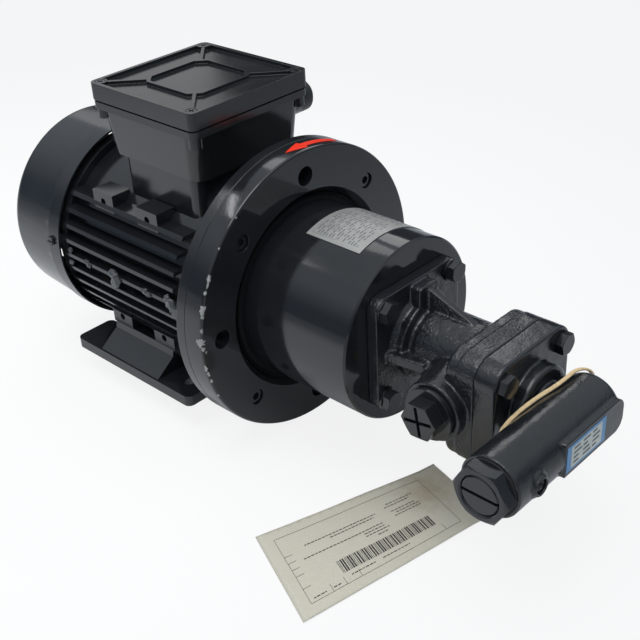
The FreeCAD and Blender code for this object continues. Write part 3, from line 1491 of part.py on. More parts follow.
def paper_tag():
    """Card tag on the floor whose holed end is folded up along a crease."""
    def at(place, lift):
        return vec(place[0], place[1], tag_level + lift)
    thickness = vec(0, 0, tag_thickness)
    sheet = prism([at(tag_low_left, 0), at(tag_low_right, 0), at(tag_fold_right, 0),
                   at(tag_fold_left, 0)], thickness)
    end_left = (tag_fold_left[0] + tag_flap_reach[0], tag_fold_left[1] + tag_flap_reach[1])
    end_right = (tag_fold_right[0] + tag_flap_reach[0], tag_fold_right[1] + tag_flap_reach[1])
    flap = prism([at(tag_fold_left, 0), at(tag_fold_right, 0), at(end_right, tag_end_lift),
                  at(end_left, tag_end_lift)], thickness)
    hole = tag_hole_centre()
    bore = rod_z(twine_radius + tag_hole_gap, hole.z - 5.0, hole.z + 5.0, hole.x, hole.y)
    return merge([sheet, flap]).cut(bore)


def tag_hole_centre():
    share = tag_hole_share
    x = tag_fold_left[0] * (1.0 - share) + tag_fold_right[0] * share + tag_flap_reach[0] / 2.0
    y = tag_fold_left[1] * (1.0 - share) + tag_fold_right[1] * share + tag_flap_reach[1] / 2.0
    return vec(x, y, tag_level + (tag_end_lift + tag_thickness) / 2.0)


def twine_route():
    """Points of the twine, from the tag's hole up over the valve and back under its boss."""
    hole = tag_hole_centre()
    return [
        vec(hole.x, hole.y, tag_level + 0.1),
        vec(hole.x, hole.y, tag_level + 12.0),
        vec(160.0, -33.0, -76.0),
        vec(169.0, -41.0, -60.0),
        vec(177.0, -46.0, -41.0),
        vec(181.4, -43.5, -22.0),
        vec(183.4, -38.5, -7.0),
        vec(187.3, -26.5, 0.4),
        vec(189.5, -12.0, 2.3),
        vec(193.2, -2.5, 5.2),
        vec(194.2, 7.0, 6.0),
        vec(195.0, 18.0, 7.6),
        vec(198.5, 29.5, 2.5),
        vec(200.5, 31.5, -12.0),
        vec(196.0, 29.0, -29.0),
        vec(190.0, 14.5, -43.5),
        vec(185.5, -4.0, -50.0),
        vec(184.0, -21.0, -52.5),
        vec(180.0, -34.0, -55.0),
        vec(173.6, -40.7, -54.6),
    ]


def twine():
    """Cord along the route, with the knot that ties its end to its rising run."""
    points = twine_route()
    edges = []
    last = points[0]
    length = 0.0
    radii = []
    for index in range(1, len(points) - 1):
        before = points[index - 1].sub(points[index])
        after = points[index + 1].sub(points[index])
        shorter = min(before.Length, after.Length)
        turn = math.pi - before.getAngle(after)
        radius = 0.45 * shorter / math.tan(turn / 2.0)
        radii.append(round(radius, 1))
        reach = 0.45 * shorter
        start = points[index] + before.normalize() * reach
        end = points[index] + after.normalize() * reach
        middle_dir = (start + end) * 0.5 - points[index]
        depth = radius / math.cos(turn / 2.0) - radius
        middle = points[index] + middle_dir.normalize() * depth
        edges.append(Part.LineSegment(last, start).toShape())
        edges.append(Part.Arc(start, middle, end).toShape())
        last = end
    edges.append(Part.LineSegment(last, points[-1]).toShape())
    path = Part.Wire(edges)
    heading = points[1].sub(points[0])
    ring = Part.Wire(Part.makeCircle(twine_radius, points[0], heading))
    tube = path.makePipeShell([ring], True, False)
    length = path.Length
    rising = points[2] + (points[3] - points[2]) * ((points[-1].z - points[2].z) / (points[3].z - points[2].z))
    knot = Part.makeSphere(knot_radius, (points[-1] + rising) * 0.5)
    print("twine radii", radii)
    print("twine length", round(length, 1), "volume", round(tube.Volume, 1),
          "section by length", round(math.pi * twine_radius ** 2 * length, 1))
    return merge([tube, knot])


def write(name, shape):
    shape.exportStep("parts/" + name + ".step")


def build():
    os.makedirs("parts", exist_ok=True)
    front_bearing = ball_bearing(front_bearing_bore_radius, front_bearing_outer_radius,
                                 front_bearing_x, front_bearing_width)
    rear_bearing = ball_bearing(rear_bearing_bore_radius, rear_bearing_outer_radius,
                                rear_bearing_x, rear_bearing_width)
    motor = {
        "motor_frame": motor_frame(),
        "drive_end_shield": drive_end_shield(),
        "rear_end_shield": rear_end_shield(),
        "fan_cover": fan_cover(),
        "fan_cover_screws": fan_cover_screws(),
        "cooling_fan": cooling_fan(),
        "motor_shaft": motor_shaft(),
        "rotor_core": rotor_core(),
        "stator_core": stator_core(),
        "stator_windings": stator_windings(),
        "front_bearing": front_bearing,
        "rear_bearing": rear_bearing,
        "left_foot": foot(-1),
        "right_foot": foot(1),
        "foot_screws": foot_screws(),
        "terminal_box": terminal_box(),
        "box_gasket": box_gasket(),
        "terminal_lid": terminal_lid(),
        "lid_screws": lid_screws(),
        "terminal_block": terminal_block(),
        "entry_plug": entry_plug(),
    }
    drive = {
        "mounting_ring": mounting_ring(),
        "ring_screws": ring_screws(),
        "damping_rubber": damping_rubber(),
        "bell_housing": bell_housing(),
        "rating_plate": rating_plate(),
        "rotation_arrow": rotation_arrow(),
        "motor_coupling_hub": motor_coupling_hub(),
        "coupling_spider": coupling_spider(),
        "pump_coupling_hub": pump_coupling_hub(),
        "motor_shaft_key": shaft_key(motor_hub_rear_x, spider_rear_x - 3.0, shaft_end_radius, 2.95),
        "pump_shaft_key": shaft_key(spider_front_x + 2.0, spider_front_x + hub_length - 3.0,
                                    pump_shaft_radius, 2.45),
    }
    pump = {
        "pump_housing": pump_housing(),
        "flange_bolts": flange_bolts(),
        "shaft_seal": shaft_seal(),
        "seal_retaining_ring": seal_retaining_ring(),
        "drive_gear_shaft": drive_gear_shaft(),
        "idler_gear_shaft": idler_gear_shaft(),
        "front_bearing_block": bearing_block(bearing_front_x + face_gap, chamber_front_x),
        "rear_bearing_block": bearing_block(chamber_rear_x, joint_x - face_gap),
        "cover_seal": cover_seal(),
        "cover_bolts": cover_bolts(),
        "dowel_pins": dowel_pins(),
        "left_port_plug": port_plug(-1),
        "right_port_plug": port_plug(1),
        "port_seal_rings": port_seal_rings(),
    }
    valve = {
        "end_cover": end_cover(),
        "valve_seat": valve_seat(),
        "valve_poppet": valve_poppet(),
        "valve_spring": valve_spring(),
        "spring_plate": spring_plate(),
        "valve_cap": valve_cap(),
        "cap_seal_ring": cap_seal_ring(),
        "adjusting_screw": adjusting_screw(),
        "vent_screw": vent_screw(),
        "valve_label": valve_label(),
        "twine": twine(),
        "paper_tag": paper_tag(),
    }
    for nodes in (motor, drive, pump, valve):
        for name, shape in nodes.items():
            write(name, shape)


build()
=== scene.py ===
"""Looks of a motor-driven gear pump unit: painted castings, labels, twine and tag in a plain studio."""

import json
import logging
import math
from dataclasses import dataclass, field
from enum import Enum
from typing import Callable, Iterable, Optional

import bmesh
import bpy
from mathutils import Matrix, Vector, noise
from mathutils.bvhtree import BVHTree

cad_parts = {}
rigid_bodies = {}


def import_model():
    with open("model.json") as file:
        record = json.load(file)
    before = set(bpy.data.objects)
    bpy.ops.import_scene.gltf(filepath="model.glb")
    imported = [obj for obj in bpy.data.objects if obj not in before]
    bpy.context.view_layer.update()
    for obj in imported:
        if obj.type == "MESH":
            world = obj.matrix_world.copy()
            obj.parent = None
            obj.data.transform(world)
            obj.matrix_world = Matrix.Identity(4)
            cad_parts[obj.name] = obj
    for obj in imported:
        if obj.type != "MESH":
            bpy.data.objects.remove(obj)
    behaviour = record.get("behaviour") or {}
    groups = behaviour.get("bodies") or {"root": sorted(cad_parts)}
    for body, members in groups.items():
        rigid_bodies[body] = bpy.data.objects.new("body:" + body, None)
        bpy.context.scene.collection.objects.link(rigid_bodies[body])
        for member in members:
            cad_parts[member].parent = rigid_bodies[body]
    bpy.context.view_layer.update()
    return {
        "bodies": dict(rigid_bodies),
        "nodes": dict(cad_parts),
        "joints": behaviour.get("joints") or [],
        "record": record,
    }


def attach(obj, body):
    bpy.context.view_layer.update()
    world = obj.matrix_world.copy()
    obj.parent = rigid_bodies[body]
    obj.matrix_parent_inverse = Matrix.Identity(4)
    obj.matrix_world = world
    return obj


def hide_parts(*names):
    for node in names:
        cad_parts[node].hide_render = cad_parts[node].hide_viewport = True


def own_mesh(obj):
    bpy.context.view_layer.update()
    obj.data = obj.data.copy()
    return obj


log = logging.getLogger("gear_pump")

MM = 0.001
SAME_PLACE = 0.002 * MM

Colour = tuple[float, float, float]
Point = tuple[float, float, float]
Range = tuple[float, float]
Shape = bmesh.types.BMesh
Socket = bpy.types.NodeSocket


def mm(*values: float) -> Vector:
    """Point given in millimetres, returned in metres."""
    return Vector([value * MM for value in values])


# Nodes and shared effects


class Effect(Enum):
    """The shared reliefs that finishes are made of."""

    CAST_SKIN = "cast_skin"
    PAINT_FILM = "paint_film"
    TURNING_MARKS = "turning_marks"


@dataclass
class Graph:
    """Adds and links the nodes of one material, world or group."""

    tree: bpy.types.NodeTree

    def add(self, kind: str, **settings: object) -> bpy.types.Node:
        """Adds a node and sets its properties.

        Args:
            kind: Node type without its ShaderNode prefix.
            settings: Property values of the node.

        Returns:
            The new node.
        """
        node = self.tree.nodes.new("ShaderNode" + kind)
        for name, value in settings.items():
            setattr(node, name, value)
        return node

    def feed(self, node: bpy.types.Node, values: dict) -> None:
        """Links or sets a node's inputs.

        Args:
            node: Node to feed.
            values: Socket, number or colour for the name or number of each input.
        """
        for key, value in values.items():
            target = node.inputs[key]
            if isinstance(value, Socket):
                self.tree.links.new(value, target)
            else:
                target.default_value = (*value, 1.0) if target.type == "RGBA" else value

    def coordinates(self, scale: Point = (1.0, 1.0, 1.0)) -> Socket:
        """Object coordinates.

        Args:
            scale: Stretch along each axis.

        Returns:
            The stretched vector's socket.
        """
        mapping = self.add("Mapping")
        self.feed(mapping, {"Vector": self.add("TexCoord").outputs["Object"], "Scale": scale})
        return mapping.outputs["Vector"]

    def noise(self, vector: Socket, scale: object, detail: float = 2.0, rough: float = 0.5) -> Socket:
        """Noise value over a vector.

        Args:
            vector: Coordinates to read.
            scale: Waves per metre, as a number or socket.
            detail: Octaves.
            rough: Share of the finer octaves.

        Returns:
            The value's socket.
        """
        node = self.add("TexNoise")
        self.feed(node, {"Vector": vector, "Scale": scale, "Detail": detail, "Roughness": rough})
        return node.outputs["Fac"]

    def span(self, value: Socket, low: float, high: float, to_low: float = 0.0,
             to_high: float = 1.0) -> Socket:
        """Maps a value's range to another range, held at both ends.

        Args:
            value: Value to map.
            low: Start of the source range.
            high: End of the source range.
            to_low: Start of the target range.
            to_high: End of the target range.

        Returns:
            The mapped value's socket.
        """
        node = self.add("MapRange", clamp=True)
        self.feed(node, dict(enumerate((value, low, high, to_low, to_high))))
        return node.outputs["Result"]

    def maths(self, operation: str, a: object, b: object) -> Socket:
        """Arithmetic on two values.

        Args:
            operation: Name of the Math node's operation.
            a: Socket or number.
            b: Socket or number.

        Returns:
            The result's socket.
        """
        node = self.add("Math", operation=operation)
        self.feed(node, {0: a, 1: b})
        return node.outputs[0]

    def blend(self, share: Socket, first: object, second: object) -> Socket:
        """Mixes two colours.

        Args:
            share: Share of the second colour.
            first: Colour or socket.
            second: Colour or socket.

        Returns:
            The mixed colour's socket.
        """
        node = self.add("Mix", data_type="RGBA")
        self.feed(node, {0: share, 6: first, 7: second})
        return node.outputs[2]

    def distance(self, place: Socket, centre: Point) -> Socket:
        """Distance of a place from a fixed point.

        Args:
            place: Coordinates to read.
            centre: The fixed point in metres.

        Returns:
            The distance's socket.
        """
        node = self.add("VectorMath", operation="DISTANCE")
        self.feed(node, {0: place, 1: centre})
        return node.outputs["Value"]


class EffectGroup(Graph):
    """Shared group that takes a Scale and gives a Height, a Mask and Dust."""

    def __init__(self, effect: Effect) -> None:
        """Makes the group with its sockets.

        Args:
            effect: Effect that the group holds.
        """
        super().__init__(bpy.data.node_groups.new(effect.value, "ShaderNodeTree"))
        for side, titles in (("INPUT", ("Scale",)), ("OUTPUT", ("Height", "Mask", "Dust"))):
            for title in titles:
                self.tree.interface.new_socket(name=title, in_out=side, socket_type="NodeSocketFloat")
        self.entry = self.tree.nodes.new("NodeGroupInput")
        self.leave = self.tree.nodes.new("NodeGroupOutput")

    def scaled(self, vector: Socket, factor: float, detail: float = 2.0, rough: float = 0.5) -> Socket:
        """Noise at a multiple of the group's Scale."""
        return self.noise(vector, self.maths("MULTIPLY", self.entry.outputs["Scale"], factor), detail, rough)


def cast_skin() -> bpy.types.NodeTree:
    """Sand-cast surface: coarse pits and fine grain as a height, and a mask of rougher patches.

    Returns:
        The group's tree.
    """
    group = EffectGroup(Effect.CAST_SKIN)
    place = group.coordinates()
    swell = group.maths("MULTIPLY", group.scaled(place, 0.3), 0.6)
    pits = group.maths("MULTIPLY", group.scaled(place, 1.0), 0.3)
    grain = group.maths("MULTIPLY", group.scaled(place, 2.0, 2.0, 0.6), 0.9)
    mask = group.span(group.scaled(place, 0.13), 0.4, 0.58, 0.12, 1.0)
    height = group.maths("ADD", group.maths("ADD", swell, pits), group.maths("MULTIPLY", grain, mask))
    group.feed(group.leave, {"Height": height, "Mask": mask})
    return group.tree


def paint_film() -> bpy.types.NodeTree:
    """Sprayed paint: fine orange peel as a height, slow clouds as a mask, and dust.

    Returns:
        The group's tree.
    """
    group = EffectGroup(Effect.PAINT_FILM)
    place = group.coordinates()
    runs = group.maths("MULTIPLY", group.scaled(place, 0.12), 2.0)
    clouds = group.span(group.scaled(place, 0.05, 3.0, 0.6), 0.35, 0.68)
    specks = group.span(group.scaled(place, 2.4, 2.0, 0.7), 0.66, 0.74)
    group.feed(group.leave, {"Height": group.maths("ADD", group.scaled(place, 1.0), runs),
                             "Mask": clouds, "Dust": group.maths("MULTIPLY", specks, clouds)})
    return group.tree


def turning_marks() -> bpy.types.NodeTree:
    """Fine lines left by a lathe or grinder along X as a height, and a mask of tones.

    Returns:
        The group's tree.
    """
    group = EffectGroup(Effect.TURNING_MARKS)
    lines = group.scaled(group.coordinates((1.0, 0.06, 0.06)), 1.0)
    tone = group.span(group.scaled(group.coordinates(), 0.06), 0.3, 0.7)
    group.feed(group.leave, {"Height": lines, "Mask": tone})
    return group.tree


class Surface(Graph):
    """Graph of one material with its Principled shader."""

    def __init__(self, name: str) -> None:
        """Makes the material.

        Args:
            name: Material name.
        """
        self.material = bpy.data.materials.new(name)
        self.material.use_nodes = True
        super().__init__(self.material.node_tree)
        self.shader = self.tree.nodes["Principled BSDF"]

    def layer(self, group: bpy.types.NodeTree, scale: float) -> bpy.types.Node:
        """Places a shared effect.

        Args:
            group: The effect's group.
            scale: Waves per metre.

        Returns:
            The group's node.
        """
        node = self.add("Group", node_tree=group)
        self.feed(node, {"Scale": scale})
        return node

    def look(self, colour: object, roughness: object, **others: float) -> None:
        """Feeds the shader; other inputs are named with _ for a space."""
        named = {name.replace("_", " "): value for name, value in others.items()}
        self.feed(self.shader, {"Base Color": colour, "Roughness": roughness, **named})

    def relief(self, height: Socket, depth: float) -> None:
        """Bumps the surface.

        Args:
            height: Height value.
            depth: Metres that a height of one stands for.
        """
        bump = self.add("Bump")
        self.feed(bump, {"Distance": depth, "Strength": 1.0, "Height": height})
        self.feed(self.shader, {"Normal": bump.outputs["Normal"]})


# Finishes


@dataclass(frozen=True)
class Finish:
    """A named material, which each kind of finish paints in its own way."""

    name: str

    def paint(self, surface: Surface, effects: dict) -> None:
        """Feeds the shader, in each kind of finish."""

    def material(self, effects: dict) -> bpy.types.Material:
        """Builds the material.

        Args:
            effects: Shared groups by effect.

        Returns:
            The material.
        """
        surface = Surface(self.name)
        self.paint(surface, effects)
        return surface.material


@dataclass(frozen=True)
class Layered(Finish):
    """A shared effect whose mask mixes two tones and two roughnesses."""

    tone: Colour
    mask_tone: Colour
    roughness: Range = (0.55, 0.75)
    specular: float = 0.5
    metallic: float = 0.0
    depth: float = 0.00003
    scale: float = 900.0
    effect: Effect = Effect.PAINT_FILM
    dust: float = 0.0
    dust_tone: Colour = (0.16, 0.16, 0.15)

    def paint(self, surface: Surface, effects: dict) -> None:
        """Feeds the shader from the effect.

        Args:
            surface: Material to paint.
            effects: Shared groups by effect.
        """
        layer = surface.layer(effects[self.effect], self.scale)
        mask = layer.outputs["Mask"]
        colour = surface.blend(mask, self.tone, self.mask_tone)
        if self.dust:
            dusty = surface.maths("MULTIPLY", layer.outputs["Dust"], self.dust)
            colour = surface.blend(dusty, colour, self.dust_tone)
        surface.look(colour, surface.span(mask, 0.0, 1.0, *self.roughness), Metallic=self.metallic,
                     Specular_IOR_Level=self.specular)
        surface.relief(layer.outputs["Height"], self.depth)


@dataclass(frozen=True)
class SprayedPaint(Layered):
    """Dark glossy paint over machined or pressed metal, a little dusty."""

    roughness: Range = (0.14, 0.2)
    specular: float = 0.62
    depth: float = 0.00002
    scale: float = 420.0
    dust: float = 0.12


@dataclass(frozen=True)
class CastPaint(Layered):
    """The same paint over a rough sand casting, glossy on the grain's tops."""

    roughness: Range = (0.2, 0.1)
    specular: float = 0.62
    depth: float = 0.0005
    scale: float = 330.0
    effect: Effect = Effect.CAST_SKIN


@dataclass(frozen=True)
class BareMetal(Layered):
    """Turned or ground metal with fine lines, from its dark tone to its bright one."""

    roughness: Range = (0.22, 0.38)
    metallic: float = 1.0
    depth: float = 0.00002
    scale: float = 1400.0
    effect: Effect = Effect.TURNING_MARKS


@dataclass(frozen=True)
class Moulded(Layered):
    """Rubber, plastic or moulded board with a fine grain."""


@dataclass(frozen=True)
class Foil(Layered):
    """Foil, film or primer with faint stains."""

    roughness: Range = (0.32, 0.5)
    depth: float = 0.00001
    scale: float = 700.0


@dataclass(frozen=True)
class Windings(Finish):
    """Varnished copper wires laid side by side round the core."""

    wire_pitch: float = 0.0011
    pitch_to_scale: float = 0.314
    gap_tone: Colour = (0.12, 0.035, 0.012)
    wire_tone: Colour = (0.5, 0.17, 0.06)

    def paint(self, surface: Surface, effects: dict) -> None:
        """Feeds the shader with bands, and uses no shared effect.

        Args:
            surface: Material to paint.
            effects: Shared groups by effect; not used.
        """
        wave = surface.add("TexWave", wave_type="BANDS", bands_direction="X")
        surface.feed(wave, {"Vector": surface.coordinates(), "Scale": self.pitch_to_scale / self.wire_pitch,
                            "Distortion": 2.5, "Detail": 1.0})
        bands = wave.outputs["Fac"]
        surface.look(surface.blend(bands, self.gap_tone, self.wire_tone), 0.35, Metallic=0.7)
        surface.relief(bands, 0.0004)


@dataclass(frozen=True)
class Card(Finish):
    """Cream card with paper fibres, grey handling marks and one brown stain."""

    tone: Colour = (0.7, 0.66, 0.55)
    aged: Colour = (0.62, 0.58, 0.47)
    stain: Colour = (0.36, 0.25, 0.13)
    stain_place: Point = (0.118, -0.024, -0.0985)
    stain_radius: float = 0.022

    def paint(self, surface: Surface, effects: dict) -> None:
        """Feeds the shader with fibres, spots and the stain.

        Args:
            surface: Material to paint.
            effects: Shared groups by effect.
        """
        place = surface.coordinates()
        fibres = surface.noise(place, 1600.0, 3.0, 0.6)
        rag = surface.maths("MULTIPLY", surface.noise(place, 140.0, 4.0, 0.6), 0.028)
        ragged = surface.maths("ADD", surface.distance(place, self.stain_place), rag)
        inside = surface.span(ragged, self.stain_radius + 0.016, self.stain_radius - 0.004)
        spots = surface.span(surface.noise(place, 60.0, 3.0, 0.6), 0.58, 0.75, 0.0, 0.6)
        paper = surface.blend(surface.span(fibres, 0.35, 0.7), self.aged, self.tone)
        aged = surface.blend(spots, paper, self.aged)
        clouds = surface.layer(effects[Effect.PAINT_FILM], 800.0).outputs["Mask"]
        surface.look(surface.blend(surface.maths("MULTIPLY", inside, 0.5), aged, self.stain),
                     surface.span(clouds, 0.0, 1.0, 0.7, 0.85))
        surface.relief(fibres, 0.00008)


@dataclass(frozen=True)
class Ink(Finish):
    """Printed marks, slightly uneven."""

    tone: Colour
    faded: Colour

    def paint(self, surface: Surface, effects: dict) -> None:
        """Feeds the shader with wear."""
        wear = surface.span(surface.noise(surface.coordinates(), 900.0, 3.0, 0.7), 0.45, 0.7)
        surface.look(surface.blend(wear, self.tone, self.faded), surface.span(wear, 0.0, 1.0, 0.5, 0.7))


@dataclass(frozen=True)
class Yarn(Finish):
    """Natural fibre strand with lengthwise fibres and darker flecks."""

    tone: Colour = (0.9, 0.7, 0.41)
    dark: Colour = (0.7, 0.49, 0.25)

    def paint(self, surface: Surface, effects: dict) -> None:
        """Feeds the shader with fibres and flecks.

        Args:
            surface: Material to paint.
            effects: Shared groups by effect; not used.
        """
        place = surface.coordinates()
        fibres = surface.noise(place, 2600.0, 3.0, 0.7)
        flecks = surface.span(surface.noise(place, 700.0, 3.0, 0.6), 0.4, 0.66)
        surface.look(surface.blend(flecks, self.dark, self.tone),
                     surface.span(fibres, 0.3, 0.7, 0.7, 0.95), Sheen_Weight=0.3)
        surface.relief(fibres, 0.00025)


# Making pieces


def to_mesh(shape: Shape, name: str) -> bpy.types.Mesh:
    """Mesh data of a shape, which is freed.

    Args:
        shape: Shape to turn into data.
        name: Name of the data.

    Returns:
        The data.
    """
    mesh = bpy.data.meshes.new(name)
    shape.to_mesh(mesh)
    shape.free()
    return mesh


def placed(name: str, data: bpy.types.ID) -> bpy.types.Object:
    """Puts an object in the scene.

    Args:
        name: Object name.
        data: Mesh, curve, lamp or camera that it shows.

    Returns:
        The object.
    """
    thing = bpy.data.objects.new(name, data)
    bpy.context.scene.collection.objects.link(thing)
    return thing


def evaluated(holder: bpy.types.Object) -> bpy.types.Mesh:
    """Mesh of an object with its modifiers.

    Args:
        holder: The object, which is removed.

    Returns:
        The mesh.
    """
    bpy.context.view_layer.update()
    mesh = bpy.data.meshes.new_from_object(holder.evaluated_get(bpy.context.evaluated_depsgraph_get()))
    bpy.data.objects.remove(holder)
    return mesh


def merged_copy(node: bpy.types.Object) -> Shape:
    """Copy of a CAD node's mesh whose loose triangles are joined and whose flat faces are whole.

    Args:
        node: The CAD node's object.

    Returns:
        The joined shape.
    """
    shape = bmesh.new()
    shape.from_mesh(node.data)
    bmesh.ops.remove_doubles(shape, verts=shape.verts, dist=SAME_PLACE)
    bmesh.ops.dissolve_limit(shape, angle_limit=math.radians(0.4), use_dissolve_boundaries=False,
                             verts=shape.verts, edges=shape.edges, delimit={"NORMAL"})
    return shape


def spun_patch(radius: float, x0: float, x1: float, start: float, end: float, steps: int) -> Shape:
    """Thin patch on a cylinder round the shaft axis, made by spinning a line.

    Args:
        radius: Cylinder radius in millimetres.
        x0: Rear end of the line.
        x1: Front end of the line.
        start: First angle from +Z towards +Y, in degrees.
        end: Last angle.
        steps: Faces round the arc.

    Returns:
        The patch, facing outwards.
    """
    patch = bmesh.new()
    angle = math.radians(start)
    rim = mm(0.0, radius * math.sin(angle), radius * math.cos(angle))
    line = [patch.verts.new(rim + mm(x, 0.0, 0.0)) for x in (x0, x1)]
    edge = patch.edges.new(line)
    bmesh.ops.spin(patch, geom=line + [edge], cent=(0.0, 0.0, 0.0), axis=(-1.0, 0.0, 0.0),
                   angle=math.radians(end - start), steps=steps, use_merge=False)
    bmesh.ops.recalc_face_normals(patch, faces=patch.faces)
    return patch


def flat_patch(corner: Vector, along: Vector, across: Vector) -> Shape:
    """Flat four-sided patch, made by extruding a line.

    Args:
        corner: First corner.
        along: Side from the corner.
        across: Other side from the corner.

    Returns:
        The patch.
    """
    patch = bmesh.new()
    line = [patch.verts.new(corner), patch.verts.new(corner + along)]
    grown = bmesh.ops.extrude_edge_only(patch, edges=[patch.edges.new(line)])
    moved = [item for item in grown["geom"] if isinstance(item, bmesh.types.BMVert)]
    bmesh.ops.translate(patch, verts=moved, vec=across)
    return patch


def face_towards(shape: Shape, direction: Vector) -> None:
    """Turns over the faces that look away from a direction."""
    shape.normal_update()
    bmesh.ops.reverse_faces(shape, faces=[face for face in shape.faces if face.normal.dot(direction) < 0.0])


def gather(patches: Iterable[Shape], facing: Optional[Vector] = None) -> Shape:
    """Joins several shapes into one and frees them.

    Args:
        patches: Shapes to join.
        facing: Direction that flat faces should look in, if any.

    Returns:
        The joined shape.
    """
    whole = bmesh.new()
    for patch in patches:
        holder = to_mesh(patch, "holder")
        whole.from_mesh(holder)
        bpy.data.meshes.remove(holder)
    if facing is not None:
        face_towards(whole, facing)
    return whole


def blob(centre: Vector, size: Vector, seed: float, rough: float) -> Shape:
    """Lump of metal: a ball pulled out of shape by noise.

    Args:
        centre: Centre of the lump.
        size: Half sizes along the axes, in metres.
        seed: Offset into the noise.
        rough: Share of the size that the noise moves.

    Returns:
        The lump.
    """
    lump = bmesh.new()
    bmesh.ops.create_icosphere(lump, subdivisions=3, radius=1.0)
    for vert in lump.verts:
        vert.co *= 1.0 + rough * noise.noise(vert.co * 1.7 + Vector((seed, seed * 0.7, 0.0)))
        vert.co = centre + Vector([vert.co[axis] * size[axis] for axis in range(3)])
    return lump


class Bond(Enum):
    """What a piece is to its CAD node."""

    REPLACES = "replaces"
    LIES_ON = "lies on"


@dataclass
class Workshop:
    """Turns meshes into finished pieces that ride on the right body with the right finish."""

    frame: dict
    finishes: dict[str, bpy.types.Material]
    body_of: dict[str, str] = field(default_factory=dict)
    slot_of: dict[str, str] = field(default_factory=dict)

    def __post_init__(self) -> None:
        """Reads each node's body and slot from the frame's record."""
        record = self.frame["record"]
        for body, nodes in record["behaviour"]["bodies"].items():
            self.body_of.update(dict.fromkeys(nodes, body))
        for part in record["subparts"]:
            self.slot_of[part["node"]] = part["material_slot"]

    def node(self, name: str) -> bpy.types.Object:
        """The CAD node's object."""
        return self.frame["nodes"][name]

    def dress(self, finish: str, *nodes: str) -> None:
        """Gives CAD nodes a finish and leaves their shape alone.

        Args:
            finish: Name of the finish.
            nodes: Names of the nodes.
        """
        for name in nodes:
            materials = self.node(name).data.materials
            materials.clear()
            materials.append(self.finishes[finish])
            log.info("dressed %s as %s", name, finish)

    def keep(self, shape: Shape, name: str, finish: str, node: str,
             bond: Bond = Bond.REPLACES) -> bpy.types.Object:
        """Turns a shape into a finished piece on the body of a CAD node.

        Args:
            shape: The shape, which is freed.
            name: Piece name.
            finish: Name of the finish.
            node: Name of the CAD node.
            bond: What the piece is to that node.

        Returns:
            The piece's object.
        """
        for face in shape.faces:
            face.smooth = True
        mesh = to_mesh(shape, name)
        mesh.materials.append(self.finishes[finish])
        piece = placed(name, mesh)
        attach(piece, self.body_of[node])
        if bond is Bond.REPLACES:
            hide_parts(node)
        log.info("made %s with %d faces on %s", name, len(mesh.polygons), self.body_of[node])
        return piece

    def skin(self, finish: str, edge: float, *nodes: str, segments: int = 2) -> None:
        """Stands in for CAD nodes with their exact shape, smooth curves and softly rounded edges.

        Args:
            finish: Name of the finish.
            edge: Width of the rounding in millimetres.
            nodes: Names of the nodes.
            segments: Faces across the rounding.
        """
        for node in nodes:
            piece = self.keep(merged_copy(self.node(node)), node + "_painted", finish, node)
            bevel = piece.modifiers.new("soft_edges", "BEVEL")
            bevel.width = edge * MM
            bevel.segments = segments
            bevel.limit_method = "ANGLE"
            bevel.angle_limit = math.radians(33.0)
            bevel.use_clamp_overlap = True
            even = piece.modifiers.new("even_faces", "WEIGHTED_NORMAL")
            even.mode = "FACE_AREA"
            even.weight = 50
            even.keep_sharp = True

    def casting(self, node: str, finish: str, machined: Callable[[Vector], bool], uneven: float,
                grain: float, voxel: float = 0.7, passes: int = 3) -> None:
        """Stands in for a cast CAD node: its corners flow into each other as sand casting leaves them.

        Args:
            node: CAD node's name.
            finish: Name of the finish.
            machined: Tells whether a point lies on a machined face, which keeps its exact place.
            uneven: Depth in millimetres of the slow waves in the cast faces.
            grain: Depth in millimetres of the sand's grain.
            voxel: Mesh size in millimetres.
            passes: Smoothing passes, which set how soft the corners are.
        """
        exact = merged_copy(self.node(node))
        bmesh.ops.triangulate(exact, faces=exact.faces)
        surface = BVHTree.FromBMesh(exact)
        block = placed(node + "_block", to_mesh(exact, node + "_block"))
        remesh = block.modifiers.new("even_mesh", "REMESH")
        remesh.mode = "VOXEL"
        remesh.voxel_size = voxel * MM
        even = evaluated(block)
        shape = bmesh.new()
        shape.from_mesh(even)
        bpy.data.meshes.remove(even)
        for _ in range(passes):
            bmesh.ops.smooth_vert(shape, verts=shape.verts, factor=0.5, use_axis_x=True, use_axis_y=True,
                                  use_axis_z=True)
        shape.normal_update()
        for vert in shape.verts:
            place, _, _, distance = surface.find_nearest(vert.co)
            if machined(vert.co):
                vert.co = place
                continue
            share = min(1.0, max(0.0, (distance / MM - 0.03) / 0.2))
            rough = min(1.0, max(0.2, 0.6 + 1.6 * noise.noise(vert.co * 60.0)))
            wave = noise.noise(vert.co * 180.0) * uneven + noise.noise(vert.co * 640.0) * grain * rough
            vert.co = place.lerp(vert.co, share) + vert.normal * (wave - uneven * 0.4 - grain * 0.5) * MM
        self.keep(shape, node + "_cast", finish, node)


# Sub-assemblies


